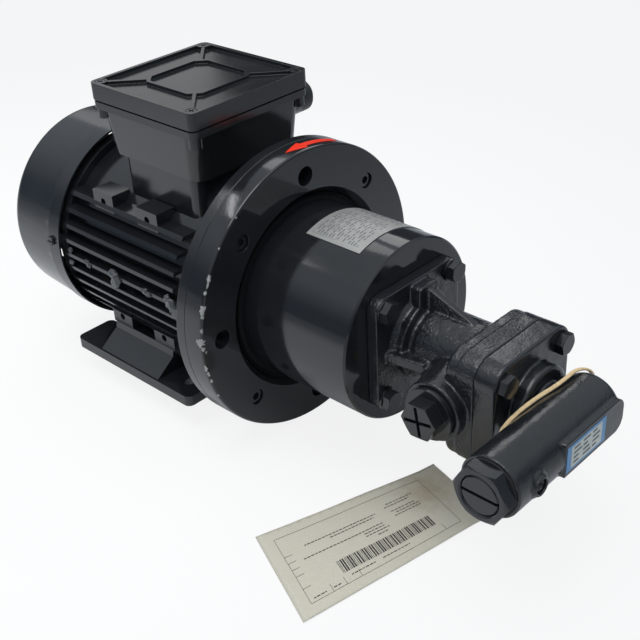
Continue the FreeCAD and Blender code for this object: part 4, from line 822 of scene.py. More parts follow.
@dataclass
class Motor:
    """Foot-mounted electric motor with its terminal box."""

    shop: Workshop
    lump_rough: float = 0.42
    lump_seed_step: float = 2.7
    fin_lumps: tuple[tuple[Point, Point], ...] = (
        ((-172.6, -74.3, 4.4), (2.0, 1.6, 2.2)), ((-174.4, -74.2, -6.2), (2.4, 1.8, 2.0)),
        ((-153.4, -75.0, 1.4), (2.6, 1.6, 1.6)), ((-151.2, -75.0, -0.6), (2.4, 1.7, 2.4)),
        ((-121.8, -75.2, 1.4), (5.2, 2.6, 3.8)), ((-119.6, -75.4, -2.8), (4.8, 2.8, 5.4)),
        ((-87.2, -74.9, 0.2), (3.2, 1.8, 2.4)), ((-83.6, -74.9, -0.9), (3.0, 1.6, 1.8)),
        ((-63.4, -74.8, 3.4), (3.0, 2.0, 3.0)), ((-59.8, -74.8, -1.2), (4.6, 2.6, 5.2)),
        ((-55.6, -74.6, -6.0), (4.2, 2.4, 4.4)))

    def housing(self) -> None:
        """Frame, end shields, fan cover, feet and their screws."""
        self.shop.skin("motor_paint", 0.5, "motor_frame", "drive_end_shield", "rear_end_shield")
        self.shop.skin("motor_paint", 0.35, "fan_cover")
        self.shop.skin("motor_paint", 0.7, "left_foot", "right_foot")
        self.shop.skin("motor_paint", 0.25, "fan_cover_screws", "foot_screws")

    def lumps(self) -> None:
        """Lumps that casting left along the parting line, on the middle fin, in a much lighter paint that
        paints in the highlights on their tops.
        """
        lumps = [blob(mm(*centre), mm(*size), number * self.lump_seed_step, self.lump_rough)
                 for number, (centre, size) in enumerate(self.fin_lumps)]
        self.shop.keep(gather(lumps), "fin_lumps", "lump_paint_with_painted_highlight", "motor_frame", Bond.LIES_ON)

    def box(self) -> None:
        """Terminal box with gasket, lid, screws and the closed cable entry."""
        self.shop.skin("box_paint", 0.6, "terminal_box")
        self.shop.skin("box_paint", 0.5, "terminal_lid")
        self.shop.skin("box_paint", 0.2, "lid_screws")
        self.shop.skin("plug_plastic", 0.5, "entry_plug")
        self.shop.dress("gasket_rubber", "box_gasket")
        self.shop.dress("board", "terminal_block")

    def inside(self) -> None:
        """Shaft, rotor, stator, bearings and fan, which keep their CAD shape."""
        self.shop.dress("ground_steel", "motor_shaft", "motor_shaft_key", "front_bearing", "rear_bearing")
        self.shop.dress("core_steel", "rotor_core", "stator_core")
        self.shop.dress("windings", "stator_windings")
        self.shop.dress("plug_plastic", "cooling_fan")

    def build(self) -> None:
        """Builds the motor."""
        for step in (self.housing, self.lumps, self.box, self.inside):
            step()


@dataclass
class BellHousing:
    """Mounting ring, bell housing, its plate and the turning arrow, with the coupling inside."""

    shop: Workshop
    ring_radius: float = 100.0
    ring_edge: float = 2.0
    tube_radius: float = 61.3
    plate_rear: float = 20.5
    plate_front: float = 65.0
    plate_start: float = -21.5
    plate_end: float = 44.0
    plate_height: float = 0.56
    print_gap: float = 0.02
    table_margin: float = 3.0
    table_pitch: float = 4.6
    dash_pitch: float = 2.3
    chip_height: float = 0.05
    chip_spots: tuple[tuple[float, float, float, float], ...] = (
        (152.4, 2.2, 4.4, 0.4), (154.6, 1.3, 4.4, 0.7), (157.6, 1.7, 2.6, 0.2), (164.0, 4.4, 6.2, 0.1),
        (166.6, 2.4, 3.4, 0.5), (172.2, 1.7, 3.4, 0.3), (177.2, 6.0, 4.6, -0.9), (179.6, 3.6, 2.6, 1.0),
        (181.4, 1.3, 2.0, 2.4), (188.6, 2.4, 4.6, 0.0), (191.4, 1.4, 3.4, 0.6), (194.8, 1.8, 3.2, 0.7),
        (203.0, 1.4, 2.0, 0.0), (141.0, 0.9, 1.3, 0.2), (128.5, 1.0, 1.2, 0.9))

    def castings(self) -> None:
        """Ring, its screws, the tube and the rubber between them."""
        self.shop.skin("ring_paint", 0.6, "mounting_ring", segments=3)
        self.shop.skin("ring_paint", 0.25, "ring_screws")
        self.shop.skin("ring_paint", 0.5, "bell_housing", segments=3)
        self.shop.dress("deep_rubber", "damping_rubber")

    def plate_marks(self) -> Shape:
        """Generic ruled table and rows of short dashes on the plate.

        Returns:
            The marks' shape.
        """
        radius = self.tube_radius + self.plate_height + self.print_gap
        first = self.plate_start
        edge = self.plate_rear + self.table_margin
        rules = [edge + row * self.table_pitch for row in range(5)]
        marks = [spun_patch(radius, x, x + 0.22, first + 2.5, first + 33.0, 12) for x in rules]
        marks += [spun_patch(radius, edge, edge + 18.6, first + angle, first + angle + 0.25, 1)
                  for angle in (2.5, 9.5, 20.0, 33.0)]
        rows = int((self.plate_front - self.plate_rear - 2.0 * self.table_margin) / self.dash_pitch)
        for row in range(rows):
            low = self.plate_rear + 4.2 + row * self.dash_pitch
            angle = first + 3.4
            step = 0
            while angle < self.plate_end - 4.0:
                reach = 1.5 + 1.9 * abs(math.sin(row * 2.3 + step * 1.7))
                bare = (row * 5 + step * 3) % 11 < 3 or 32.0 < angle - first < 36.0
                if not bare:
                    marks.append(spun_patch(radius, low, low + 0.85, angle, angle + reach, 1))
                angle += reach + 0.8
                step += 1
        return gather(marks)

    def films(self) -> None:
        """Silver plate with its generic marks, and the red-orange arrow on the ring's rim."""
        self.shop.dress("plate_foil", "rating_plate")
        self.shop.keep(self.plate_marks(), "plate_marks", "grey_ink", "rating_plate", Bond.LIES_ON)
        self.shop.dress("arrow_film", "rotation_arrow")

    def chips(self) -> None:
        """Pale chips in the paint on the ring's front edge, at its lower left."""
        flakes = [self.chip(number, *spot) for number, spot in enumerate(self.chip_spots)]
        self.shop.keep(gather(flakes), "paint_chips", "bare_primer", "mounting_ring", Bond.LIES_ON)

    def chip(self, number: int, angle: float, across: float, along: float, inward: float) -> Shape:
        """Ragged flake that follows the ring's rounded front edge.

        Args:
            number: Number of the flake, which sets its outline.
            angle: Its place round the shaft axis, from +Y towards +Z, in degrees.
            across: Its width across the edge in millimetres.
            along: Its length along the edge in millimetres.
            inward: How far it lies from the edge's middle towards the axis.

        Returns:
            The flake.
        """
        flake = bmesh.new()
        bmesh.ops.create_grid(flake, x_segments=14, y_segments=14, size=1.0)
        radius = self.ring_edge
        raised = radius + self.chip_height
        quarter = math.pi * 0.25 * radius
        for vert in flake.verts:
            u = vert.co.x * math.sqrt(1.0 - vert.co.y**2 * 0.5)
            v = vert.co.y * math.sqrt(1.0 - vert.co.x**2 * 0.5)
            reach = math.hypot(u, v)
            seed = Vector((u, v, 0.0)) * (1.9 / max(reach, 0.01)) + Vector((number * 5.3, 0.0, reach * 0.4))
            ragged = 1.0 + 0.75 * noise.noise(seed)
            step = u * across * 0.5 * ragged + inward
            turn = math.radians(angle) + v * along * 0.5 * ragged / self.ring_radius
            bend = min(max(step, -quarter), quarter) / radius + math.pi * 0.25
            depth = -radius + raised * math.sin(bend) + min(0.0, step + quarter)
            out = self.ring_radius - radius + raised * math.cos(bend) - max(0.0, step - quarter)
            vert.co = mm(depth, out * math.cos(turn), out * math.sin(turn))
        bmesh.ops.recalc_face_normals(flake, faces=flake.faces)
        face_towards(flake, mm(1.0, math.cos(math.radians(angle)), math.sin(math.radians(angle))))
        return flake

    def coupling(self) -> None:
        """Claw coupling inside the tube."""
        self.shop.dress("turned_aluminium", "motor_coupling_hub", "pump_coupling_hub")
        self.shop.dress("red_rubber", "coupling_spider")
        self.shop.dress("ground_steel", "pump_shaft_key")

    def build(self) -> None:
        """Builds the sub-assembly."""
        for step in (self.castings, self.films, self.chips, self.coupling):
            step()


@dataclass
class Pump:
    """Gear pump: rough housing, bolts, plugs, gears and bearing blocks."""

    shop: Workshop
    bore_reach: float = 16.2
    gear_spacing: float = 26.0
    flange_x: float = 84.7
    neck_x: float = 112.0
    chamber_x: float = 100.0
    joint_x: float = 161.7
    port_x: float = 139.0
    port_reach: float = 13.0
    port_depth_y: float = 14.0

    def bored(self, place: Vector) -> bool:
        """Tells whether a point of the housing lies in its machined inside.

        Args:
            place: Point in metres.

        Returns:
            True inside the bores and on the joint's face.
        """
        x, y, z = (value / MM for value in place)
        reach, spacing = self.bore_reach, self.gear_spacing
        nearest = min(math.hypot(y, z), math.hypot(y, z + spacing))
        in_waist = abs(y) < reach and -spacing < z < 0.0
        in_chamber = x > self.chamber_x and (nearest < reach or in_waist)
        in_neck = x <= self.neck_x and math.hypot(y, z) < reach
        port_distance = math.hypot(x - self.port_x, z + spacing / 2.0)
        in_port = abs(y) > self.port_depth_y and port_distance < self.port_reach
        return in_chamber or in_neck or in_port or x > self.joint_x or x < self.flange_x

    def outside(self) -> None:
        """Rough cast housing with its bolts and port plugs."""
        self.shop.casting("pump_housing", "cast_paint", self.bored, 0.1, 0.14)
        self.shop.skin("bolt_paint", 0.35, "flange_bolts", "cover_bolts")
        self.shop.skin("bolt_paint", 0.4, "left_port_plug", "right_port_plug")

    def inside(self) -> None:
        """Gears, bearing blocks, pins and seals."""
        self.shop.dress("ground_steel", "dowel_pins", "seal_retaining_ring", "drive_gear_shaft",
                        "idler_gear_shaft")
        self.shop.dress("gasket_rubber", "port_seal_rings", "shaft_seal", "cover_seal")
        self.shop.dress("bronze", "front_bearing_block", "rear_bearing_block")

    def build(self) -> None:
        """Builds the pump."""
        self.outside()
        self.inside()


@dataclass
class ReliefValve:
    """End cover with the relief valve across it."""

    shop: Workshop
    barrel_x: float = 204.0
    barrel_z: float = -13.0
    barrel_reach: float = 16.2
    barrel_end_y: float = -79.2
    vent_x: float = 210.0
    vent_y: float = -61.5
    vent_reach: float = 5.0
    passage_x: float = 176.5
    passage_reach: float = 19.0
    joint_x: float = 162.3
    pad_face_x: float = 223.2
    pad_x: float = 223.5
    label_near: float = -35.5
    label_far: float = 4.0
    label_half: float = 8.5
    label_thickness: float = 0.34
    border_y: float = 4.0
    border_z: float = 1.4
    plate_travel: float = 6.0
    poppet_travel: float = 4.0

    def bored(self, place: Vector) -> bool:
        """Tells whether a point of the cover lies in a machined bore or on a machined face.

        Args:
            place: Point in metres.

        Returns:
            True in the valve's bores, on the joint's face and on the label's pad.
        """
        x, y, z = (value / MM for value in place)
        up = z - self.barrel_z
        in_barrel = math.hypot(x - self.barrel_x, up) < self.barrel_reach and y > self.barrel_end_y
        in_vent = math.hypot(y - self.vent_y, up) < self.vent_reach and x > self.vent_x
        in_cover = x < self.passage_x and math.hypot(y, up) < self.passage_reach
        return in_barrel or in_vent or in_cover or x < self.joint_x or x > self.pad_face_x

    def castings(self) -> None:
        """Cast cover, the hexagon cap and the screws."""
        self.shop.casting("end_cover", "cast_paint_smooth", self.bored, 0.06, 0.03)
        self.shop.skin("bolt_paint", 0.5, "valve_cap")
        self.shop.skin("bolt_paint", 0.4, "adjusting_screw")
        self.shop.skin("bolt_paint", 0.25, "vent_screw")

    def label(self) -> None:
        """Pale label with a blue border and generic bars."""
        self.shop.dress("label_blue_film", "valve_label")
        x = self.pad_x + self.label_thickness + 0.03
        out = Vector((1.0, 0.0, 0.0))
        low = self.barrel_z - self.label_half + self.border_z
        pale = flat_patch(mm(x, self.label_near + self.border_y, low),
                          mm(0.0, self.label_far - self.label_near - 2.0 * self.border_y, 0.0),
                          mm(0.0, 0.0, 2.0 * (self.label_half - self.border_z)))
        self.shop.keep(gather([pale], out), "label_field", "label_pale_film", "valve_label", Bond.LIES_ON)
        bars = []
        for row in range(4):
            z = self.barrel_z + 4.4 - row * 3.2
            for part in range(3):
                y = self.label_near + 6.5 + part * 9.6
                reach = 6.2 + 1.9 * math.sin(row * 1.9 + part * 2.6)
                bars.append(flat_patch(mm(x + 0.04, y, z), mm(0.0, reach, 0.0), mm(0.0, 0.0, 1.4)))
        self.shop.keep(gather(bars, out), "label_marks", "grey_ink", "valve_label", Bond.LIES_ON)

    def inside(self) -> None:
        """Seat, poppet, spring plate and seal ring."""
        self.shop.dress("ground_steel", "valve_seat", "valve_poppet", "spring_plate")
        self.shop.dress("gasket_rubber", "cap_seal_ring")

    def spring(self) -> None:
        """Spring cut at its middle into a rear half and a front half."""
        whole = self.shop.node("valve_spring").data
        ends = [vert.co.y for vert in whole.vertices]
        middle = (min(ends) + max(ends)) * 0.5
        for name, joint, travel, side in (("spring_rear_half", "spring_plate_travel", self.plate_travel, 1.0),
                                          ("spring_front_half", "poppet_lift", self.poppet_travel, -1.0)):
            shape = bmesh.new()
            shape.from_mesh(whole)
            bmesh.ops.remove_doubles(shape, verts=shape.verts, dist=SAME_PLACE)
            everything = [*shape.verts, *shape.edges, *shape.faces]
            cut = bmesh.ops.bisect_plane(shape, geom=everything, dist=0.5 * SAME_PLACE,
                                         plane_co=(0.0, middle, 0.0), plane_no=(0.0, side, 0.0),
                                         clear_outer=True)
            rim = [edge for edge in cut["geom_cut"] if isinstance(edge, bmesh.types.BMEdge)]
            bmesh.ops.holes_fill(shape, edges=rim, sides=0)
            piece = self.shop.keep(shape, name, "ground_steel", "valve_spring")
            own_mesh(piece)

    def build(self) -> None:
        """Builds the valve."""
        for step in (self.castings, self.label, self.inside, self.spring):
            step()


@dataclass
class TagAndTwine:
    """Card tag on the floor and the twine that ties it to the valve."""

    shop: Workshop
    twine_radius: float = 1.2
    strand_share: float = 0.66
    strand_offset_share: float = 0.44
    twist_length: float = 17.0
    strand_corners: int = 16
    route: tuple[Point, ...] = (
        (151.9, -22.3, -99.6), (151.9, -22.3, -87.7), (160.0, -33.0, -76.0), (169.0, -41.0, -60.0),
        (177.0, -46.0, -41.0), (181.4, -43.5, -22.0), (183.4, -38.5, -7.0), (187.3, -26.5, 0.4),
        (189.5, -12.0, 2.3), (193.2, -2.5, 5.2), (194.2, 7.0, 6.0), (195.0, 18.0, 7.6),
        (198.5, 29.5, 2.5), (200.5, 31.5, -12.0), (196.0, 29.0, -29.0), (190.0, 14.5, -43.5),
        (185.5, -4.0, -50.0), (184.0, -21.0, -52.5), (180.0, -34.0, -55.0), (173.6, -40.7, -54.6))
    thickness: float = 0.5
    print_gap: float = 0.06
    card_edge: float = 4.5
    mark_edge: float = 6.0
    tag_z: float = -99.7
    low_left: Range = (63.3, -126.2)
    low_right: Range = (134.9, -157.5)
    fold_left: Range = (101.5, -12.0)
    fold_right: Range = (160.5, -29.5)
    long_line: float = 0.0045
    cross_line: float = 0.0022
    dash_runs: tuple[tuple[float, float, float], ...] = (
        (0.3, 0.2, 0.62), (0.335, 0.34, 0.6), (0.44, 0.16, 0.62), (0.475, 0.5, 0.62), (0.51, 0.5, 0.64),
        (0.25, 0.7, 0.86), (0.285, 0.68, 0.83), (0.36, 0.7, 0.84), (0.395, 0.72, 0.87), (0.43, 0.7, 0.86),
        (0.55, 0.56, 0.62), (0.815, 0.32, 0.46), (0.815, 0.5, 0.66), (0.845, 0.1, 0.17), (0.845, 0.21, 0.25))

    def line(self) -> bpy.types.Curve:
        """The twine's centre line as one spline over the route's points.

        Returns:
            The curve.
        """
        curve = bpy.data.curves.new("twine_cord", "CURVE")
        curve.dimensions = "3D"
        spline = curve.splines.new("NURBS")
        spline.points.add(len(self.route) - 1)
        for point, place in zip(spline.points, self.route):
            point.co = (*mm(*place), 1.0)
        spline.order_u = 3
        spline.use_endpoint_u = True
        curve.resolution_u = 20
        return curve

    def twine(self) -> None:
        """Two-strand twine and the knot that ties its end to its rising run."""
        path = evaluated(placed("twine_line", self.line()))
        places = [vert.co.copy() for vert in path.vertices]
        bpy.data.meshes.remove(path)
        cord = self.shop.keep(self.strands(places), "twine_cord", "yarn", "twine")
        knot = self.knot(mm(*self.route[-1]), places)

    def strands(self, places: list[Vector]) -> Shape:
        """Tube with the outline of two strands that lie side by side.

        Args:
            places: Points along the twine's line.

        Returns:
            The tube.
        """
        strand = self.strand_share * self.twine_radius * MM
        offset = self.strand_offset_share * self.twine_radius * MM
        corners = self.strand_corners
        shape = bmesh.new()
        side = Vector((0.0, 1.0, 0.0))
        travelled = 0.0
        rings: list[list[bmesh.types.BMVert]] = []
        for index, place in enumerate(places):
            ahead = places[min(index + 1, len(places) - 1)] - places[max(index - 1, 0)]
            tangent = ahead.normalized()
            level = Vector((0.0, 0.0, 1.0)).cross(tangent)
            if level.length > 0.5:
                side = side.lerp(level * (1.0 if level.dot(side) > 0.0 else -1.0), 0.25)
            side = (side - tangent * side.dot(tangent)).normalized()
            other = tangent.cross(side)
            if index:
                travelled += (place - places[index - 1]).length
            twist = 0.4 * math.sin(travelled / (self.twist_length * MM))
            wear = 1.0 + 0.1 * noise.noise(place * 300.0)
            ring = []
            for corner in range(corners):
                angle = math.tau * corner / corners
                lobe = offset * abs(math.cos(angle))
                reach = lobe + math.sqrt(strand**2 - (offset * math.sin(angle)) ** 2)
                out = side * math.cos(angle + twist) + other * math.sin(angle + twist)
                ring.append(shape.verts.new(place + out * reach * wear))
            rings.append(ring)
        for ring, later in zip(rings, rings[1:]):
            for corner in range(corners):
                follow = (corner + 1) % corners
                shape.faces.new((ring[corner], ring[follow], later[follow], later[corner]))
        shape.faces.new(rings[0][::-1])
        shape.faces.new(rings[-1])
        bmesh.ops.recalc_face_normals(shape, faces=shape.faces)
        return shape

    def knot(self, end: Vector, places: list[Vector]) -> bpy.types.Object:
        """Overhand knot: three loose turns of twine round the rising run and the end.

        Args:
            end: The twine's last point.
            places: Points along the line.

        Returns:
            The knot's piece.
        """
        rising = min(places[: len(places) // 3], key=lambda place: (place - end).length)
        centre = (rising + end) * 0.5
        turns: list[Shape] = []
        for index, lean in enumerate((-0.5, 0.1, 0.7)):
            turn = bmesh.new()
            bmesh.ops.create_circle(turn, cap_ends=False, segments=10, radius=0.95 * MM)
            bmesh.ops.translate(turn, verts=turn.verts, vec=mm(1.55, 0.0, 0.0))
            bmesh.ops.spin(turn, geom=turn.verts[:] + turn.edges[:], cent=(0.0, 0.0, 0.0),
                           axis=(0.0, 1.0, 0.0), angle=math.tau, steps=22, use_merge=True)
            bmesh.ops.recalc_face_normals(turn, faces=turn.faces)
            tilt = Matrix.Rotation(lean, 4, "X") @ Matrix.Rotation(0.5 + 0.6 * index, 4, "Z")
            seat = Matrix.Translation(centre + mm(0.0, 0.0, (index - 1) * 1.3))
            bmesh.ops.transform(turn, matrix=seat @ tilt @ Matrix.Rotation(math.pi / 2.0, 4, "X"),
                                verts=turn.verts)
            turns.append(turn)
        return self.shop.keep(gather(turns), "twine_knot", "yarn", "twine", Bond.LIES_ON)

    def card_point(self, along: float, across: float) -> Vector:
        """Point of the flat card.

        Args:
            along: Share of the way from the low end to the crease.
            across: Share of the way from the left side to the right side.

        Returns:
            The point in metres, on the floor.
        """
        low_left, low_right, fold_left, fold_right = (
            mm(*corner, self.tag_z)
            for corner in (self.low_left, self.low_right, self.fold_left, self.fold_right))
        return low_left.lerp(fold_left, along).lerp(low_right.lerp(fold_right, along), across)

    def lift(self, place: Vector) -> float:
        """Height in metres of the card's waves over its flat shape at a place."""
        return (0.9 + 1.1 * noise.noise(place * 16.0) + 0.25 * noise.noise(place * 60.0)) * MM * 0.8

    def tag(self) -> None:
        """Card with soft waves, its ruled frame, bars and rows of dashes."""
        shape = merged_copy(self.shop.node("paper_tag"))
        bmesh.ops.triangulate(shape, faces=shape.faces)
        for _ in range(7):
            long_edges = [edge for edge in shape.edges if edge.calc_length() > self.card_edge * MM]
            if not long_edges:
                break
            bmesh.ops.subdivide_edges(shape, edges=long_edges, cuts=1)
            bmesh.ops.triangulate(shape, faces=shape.faces)
        for vert in shape.verts:
            vert.co.z += self.lift(vert.co)
        self.shop.keep(shape, "tag_card", "card", "paper_tag")
        marks = self.ruled_frame() + self.bar_row() + self.dash_rows()
        self.shop.keep(gather(marks, Vector((0.0, 0.0, 1.0))), "tag_marks", "black_ink", "paper_tag",
                       Bond.LIES_ON)

    def mark(self, along: float, across: float, run: float, rise: float) -> Shape:
        """Printed patch that follows the card.

        Args:
            along: Start along the card, as a share.
            across: Start across the card, as a share.
            run: Length along the card, as a share.
            rise: Width across the card, as a share.

        Returns:
            The patch.
        """
        corner = self.card_point(along, across)
        patch = flat_patch(corner, self.card_point(along + run, across) - corner,
                           self.card_point(along, across + rise) - corner)
        limit = self.mark_edge * MM
        cuts = int(max(edge.calc_length() for edge in patch.edges) / limit)
        if cuts:
            long_edges = [edge for edge in patch.edges if edge.calc_length() > limit]
            bmesh.ops.subdivide_edges(patch, edges=long_edges, cuts=cuts, use_grid_fill=True)
        for vert in patch.verts:
            vert.co.z += self.lift(vert.co) + (self.thickness + self.print_gap) * MM
        return patch

    def ruled_frame(self) -> list[Shape]:
        """Thin frame inside the card's edge with a few boxes along its right side.

        Returns:
            The lines' patches.
        """
        spots = [(0.075, 0.115, 0.875, self.long_line), (0.075, 0.885, 0.875, self.long_line),
                 (0.075, 0.115, self.cross_line, 0.77), (0.95, 0.115, self.cross_line, 0.77)]
        spots += [(share, 0.8, self.cross_line, 0.085) for share in (0.2, 0.275, 0.36, 0.86)]
        spots += [(0.075, share, 0.045, self.long_line) for share in (0.34, 0.42, 0.5, 0.58, 0.72)]
        return [self.mark(*spot) for spot in spots]

    def bar_row(self) -> list[Shape]:
        """Row of plain bars of uneven widths.

        Returns:
            The bars' patches.
        """
        bars = []
        along = 0.29
        index = 0
        while along < 0.83:
            width = (0.0032, 0.0055, 0.0085, 0.0042)[(index * index + 3 * index) % 4]
            gap = (0.0045, 0.0062, 0.0036)[(index * 7 + index // 3) % 3]
            bars.append(self.mark(along, 0.62, width, 0.15))
            along += width + gap
            index += 1
        return bars

    def dash_rows(self) -> list[Shape]:
        """Rows of short dashes where the card is printed.

        Returns:
            The dashes' patches.
        """
        dashes = []
        for number, (across, start, end) in enumerate(self.dash_runs):
            along = start
            step = 0
            while along < end:
                reach = 0.011 + 0.008 * abs(math.sin(number * 1.7 + step * 2.1))
                dashes.append(self.mark(along, across, min(reach, end - along), 0.011))
                along += reach + 0.005
                step += 1
        return dashes

    def build(self) -> None:
        """Builds both pieces."""
        self.twine()
        self.tag()


@dataclass
class Studio:
    """Pale floor, soft lamps and the camera at the photo's angle."""

    floor_z: float = -0.1002
    floor_half: float = 6.0
    azimuth: float = 44.92
    elevation: float = 31.55
    roll: float = -3.41
    distance: float = 0.7466
    shift_right: float = 0.00519
    shift_up: float = -0.02173
    focal: float = 61.84
    dim_corner: Point = (-0.66, 0.722, 0.2)
    lamp_distance: float = 1.6
    # Place and size of the pool of light painted on the floor, with its painted light tone and painted shade
    # tone.
    painted_light_pool_centre: Point = (-0.25, -0.15, -0.1)
    painted_light_pool_edge: Range = (0.25, 0.75)
    painted_light_pool_tone: Colour = (0.92, 0.92, 0.92)
    painted_shade_far_tone: Colour = (0.4, 0.42, 0.45)
    camera_share: float = 0.85
    mirror_share: float = 0.08

    def floor(self) -> None:
        """Plain white floor that keeps a soft shadow; its colour is painted light in a pool round the pump
        and painted grey shade away from it.
        """
        shape = bmesh.new()
        bmesh.ops.create_grid(shape, x_segments=1, y_segments=1, size=self.floor_half)
        bmesh.ops.translate(shape, verts=shape.verts, vec=(0.0, 0.0, self.floor_z))
        surface = Surface("studio_white")
        # Painted light and shade: the floor's own colour is pale in a pool near the pump and greyer further
        # out.
        far = surface.span(surface.distance(surface.coordinates(), self.painted_light_pool_centre), *self.painted_light_pool_edge)
        surface.look(surface.blend(far, self.painted_light_pool_tone, self.painted_shade_far_tone), 0.9)
        rays = surface.add("LightPath").outputs
        mirrored = surface.maths("MAXIMUM", rays["Is Glossy Ray"], rays["Is Transmission Ray"])
        seen = surface.maths("MAXIMUM", surface.maths("MULTIPLY", rays["Is Camera Ray"], self.camera_share),
                             surface.maths("MULTIPLY", mirrored, self.mirror_share))
        glow = surface.add("Emission")
        surface.feed(glow, {"Color": (1.0, 1.0, 1.0), "Strength": 1.0})
        mix = surface.add("MixShader")
        surface.feed(mix, {0: seen, 1: surface.shader.outputs[0], 2: glow.outputs[0]})
        surface.feed(surface.tree.nodes["Material Output"], {"Surface": mix.outputs[0]})
        floor = placed("studio_floor", to_mesh(shape, "studio_floor"))
        floor.data.materials.append(surface.material)

    def world(self) -> None:
        """Grey room with dim walls, one darker corner and a bright ceiling, seen pale by the camera."""
        world = bpy.data.worlds.new("studio_room")
        world.use_nodes = True
        graph = Graph(world.node_tree)
        place = graph.add("TexCoord").outputs["Generated"]
        split = graph.add("SeparateXYZ")
        graph.feed(split, {0: place})
        height = split.outputs["Z"]
        walls = graph.blend(graph.span(height, 0.2, 0.54), (0.13, 0.17, 0.22), (0.6, 0.66, 0.72))
        corner = graph.add("VectorMath", operation="DOT_PRODUCT")
        graph.feed(corner, {0: place, 1: self.dim_corner})
        dimmed = graph.blend(graph.span(corner.outputs["Value"], 0.88, 0.95), walls, (0.05, 0.055, 0.065))
        upper = graph.blend(graph.span(height, 0.6, 0.78), dimmed, (0.56, 0.61, 0.66))
        lit = graph.blend(graph.span(height, 0.84, 0.93), upper, (1.3, 1.35, 1.4))
        rays = graph.add("LightPath")
        tone = graph.blend(rays.outputs["Is Camera Ray"], lit, (0.93, 0.94, 0.95))
        graph.feed(world.node_tree.nodes["Background"], {"Color": tone, "Strength": 1.0})
        bpy.context.scene.world = world

    def lamp(self, name: str, turn: float, rise: float, size: Range, glow: float,
             along: Point = (0.0, 0.0, 1.0)) -> None:
        """Rectangular softbox that faces the pump.

        Args:
            name: Lamp name.
            turn: Its direction round the pump, from +X towards +Y, in degrees.
            rise: Its height angle in degrees.
            size: Length along and width across the given direction, in metres.
            glow: How bright its face looks, where 1 is white.
            along: Direction of its length.
        """
        level = math.cos(math.radians(rise))
        away = Vector((level * math.cos(math.radians(turn)), level * math.sin(math.radians(turn)),
                       math.sin(math.radians(rise))))
        length = (Vector(along) - away * away.dot(Vector(along))).normalized()
        light = bpy.data.lights.new(name, "AREA")
        light.shape = "RECTANGLE"
        light.size, light.size_y = size
        light.energy = glow * math.pi * size[0] * size[1]
        placed(name, light).matrix_world = (
            Matrix.Translation(away * self.lamp_distance)
            @ Matrix((length, away.cross(length), away)).transposed().to_4x4())

    def lamps(self) -> None:
        """Tube at the left, softboxes behind the pump and large ones above it."""
        self.lamp("left_tube", -159.0, 47.2, (0.4, 0.016), 22.0, (0.0, 1.0, 0.0))
        self.lamp("back_box", 147.0, 46.0, (0.36, 0.34), 1.35)
        self.lamp("low_back_box", 151.0, 26.0, (0.6, 0.5), 0.72)
        self.lamp("far_box", 125.0, 33.0, (0.42, 0.4), 1.9)
        self.lamp("top_box", -100.0, 71.0, (1.0, 0.8), 2.4)
        self.lamp("front_box", -40.0, 62.0, (0.8, 0.6), 1.8)

    def camera(self) -> None:
        """Camera at the photo's viewing angle, rolled a little."""
        turn, rise, roll = (math.radians(angle) for angle in (self.azimuth, self.elevation, self.roll))
        back = Vector((math.sin(turn) * math.cos(rise), -math.cos(turn) * math.cos(rise), math.sin(rise)))
        level = Vector((math.cos(turn), math.sin(turn), 0.0))
        rising = back.cross(level)
        right = level * math.cos(roll) + rising * math.sin(roll)
        up = rising * math.cos(roll) - level * math.sin(roll)
        place = back * self.distance + right * self.shift_right + up * self.shift_up
        data = bpy.data.cameras.new("photo_camera")
        data.lens = self.focal
        data.sensor_width = 36.0
        data.clip_start = 0.01
        camera = placed("photo_camera", data)
        camera.matrix_world = Matrix.Translation(place) @ Matrix((right, up, back)).transposed().to_4x4()
        bpy.context.scene.camera = camera

    def build(self) -> None:
        """Builds the studio."""
        for step in (self.floor, self.world, self.lamps, self.camera):
            step()
        bpy.context.scene.view_settings.view_transform = "Standard"


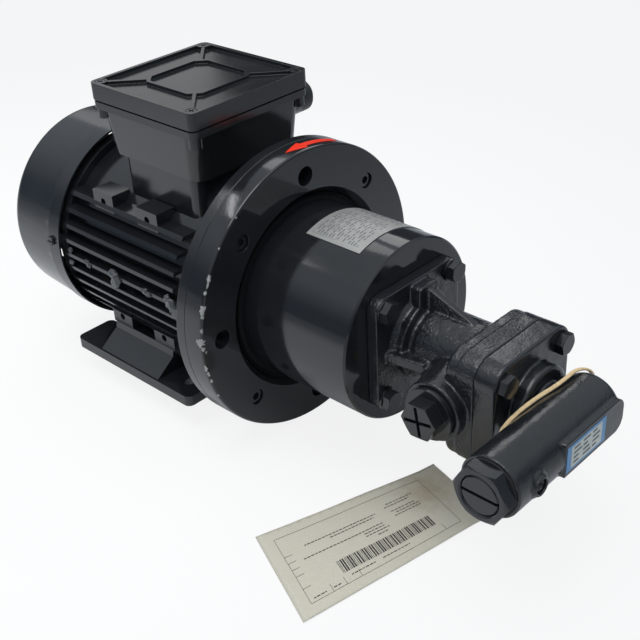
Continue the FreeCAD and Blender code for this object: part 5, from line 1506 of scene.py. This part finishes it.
def finishes() -> dict[str, bpy.types.Material]:
    """Builds every finish.

    Returns:
        The materials by short name.
    """
    effects = {Effect.CAST_SKIN: cast_skin(), Effect.PAINT_FILM: paint_film(),
               Effect.TURNING_MARKS: turning_marks()}
    looks = [
        SprayedPaint("motor_paint", (0.0115, 0.0125, 0.0145), (0.015, 0.0165, 0.019)),
        SprayedPaint("ring_paint", (0.0115, 0.0125, 0.0145), (0.014, 0.0155, 0.018), (0.08, 0.12)),
        SprayedPaint("box_paint", (0.011, 0.0125, 0.0125), (0.015, 0.0165, 0.0165), (0.15, 0.2)),
        SprayedPaint("bolt_paint", (0.011, 0.012, 0.0135), (0.015, 0.0165, 0.0185), (0.15, 0.22),
                     depth=0.00003),
        CastPaint("cast_paint", (0.0115, 0.0125, 0.015), (0.013, 0.0145, 0.0175)),
        CastPaint("cast_paint_smooth", (0.0115, 0.013, 0.0145), (0.014, 0.0155, 0.0175), depth=0.0002,
                  scale=420.0),
        # Much lighter than the motor paint: a painted highlight on the fin lumps.
        CastPaint("lump_paint_with_painted_highlight", (0.05, 0.054, 0.058), (0.075, 0.08, 0.085)),
        BareMetal("ground_steel", (0.45, 0.45, 0.47), (0.62, 0.62, 0.63)),
        BareMetal("core_steel_paint", (0.2, 0.2, 0.21), (0.35, 0.35, 0.36), (0.35, 0.5)),
        BareMetal("turned_aluminium", (0.6, 0.6, 0.62), (0.75, 0.75, 0.76)),
        BareMetal("bearing_bronze", (0.42, 0.3, 0.13), (0.55, 0.42, 0.2)),
        Windings("copper_winding_paint"),
        Moulded("gasket_rubber", (0.012, 0.012, 0.013), (0.02, 0.02, 0.021)),
        Moulded("deep_rubber", (0.003, 0.003, 0.0035), (0.005, 0.005, 0.0055), specular=0.15),
        Moulded("red_rubber", (0.45, 0.03, 0.02), (0.36, 0.03, 0.02), (0.4, 0.55)),
        Moulded("plug_plastic", (0.02, 0.021, 0.023), (0.03, 0.031, 0.033), (0.4, 0.55)),
        Moulded("terminal_board", (0.6, 0.55, 0.42), (0.5, 0.45, 0.33)),
        Foil("plate_foil", (0.4, 0.4, 0.375), (0.33, 0.33, 0.31), metallic=0.25),
        Foil("arrow_film", (0.92, 0.03, 0.008), (0.88, 0.04, 0.015), specular=0.12),
        Foil("label_blue_film", (0.15, 0.36, 0.62), (0.12, 0.3, 0.55)),
        Foil("label_pale_film", (0.66, 0.68, 0.62), (0.55, 0.58, 0.53)),
        Foil("bare_primer", (0.46, 0.46, 0.43), (0.3, 0.3, 0.28), (0.5, 0.7)),
        Ink("grey_ink", (0.11, 0.11, 0.12), (0.25, 0.25, 0.26)),
        Ink("black_ink", (0.035, 0.035, 0.035), (0.13, 0.12, 0.11)),
        Card("card"),
        Yarn("yarn"),
    ]
    short = {"core_steel_paint": "core_steel", "bearing_bronze": "bronze", "copper_winding_paint": "windings",
             "terminal_board": "board"}
    return {short.get(look.name, look.name): look.material(effects) for look in looks}


def main() -> None:
    logging.basicConfig(level=logging.INFO, format="%(name)s: %(message)s")
    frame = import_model()
    shop = Workshop(frame, finishes())
    Studio().build()
    for assembly in (TagAndTwine, Motor, BellHousing, Pump, ReliefValve):
        assembly(shop).build()


if __name__ == "__main__":
    main()
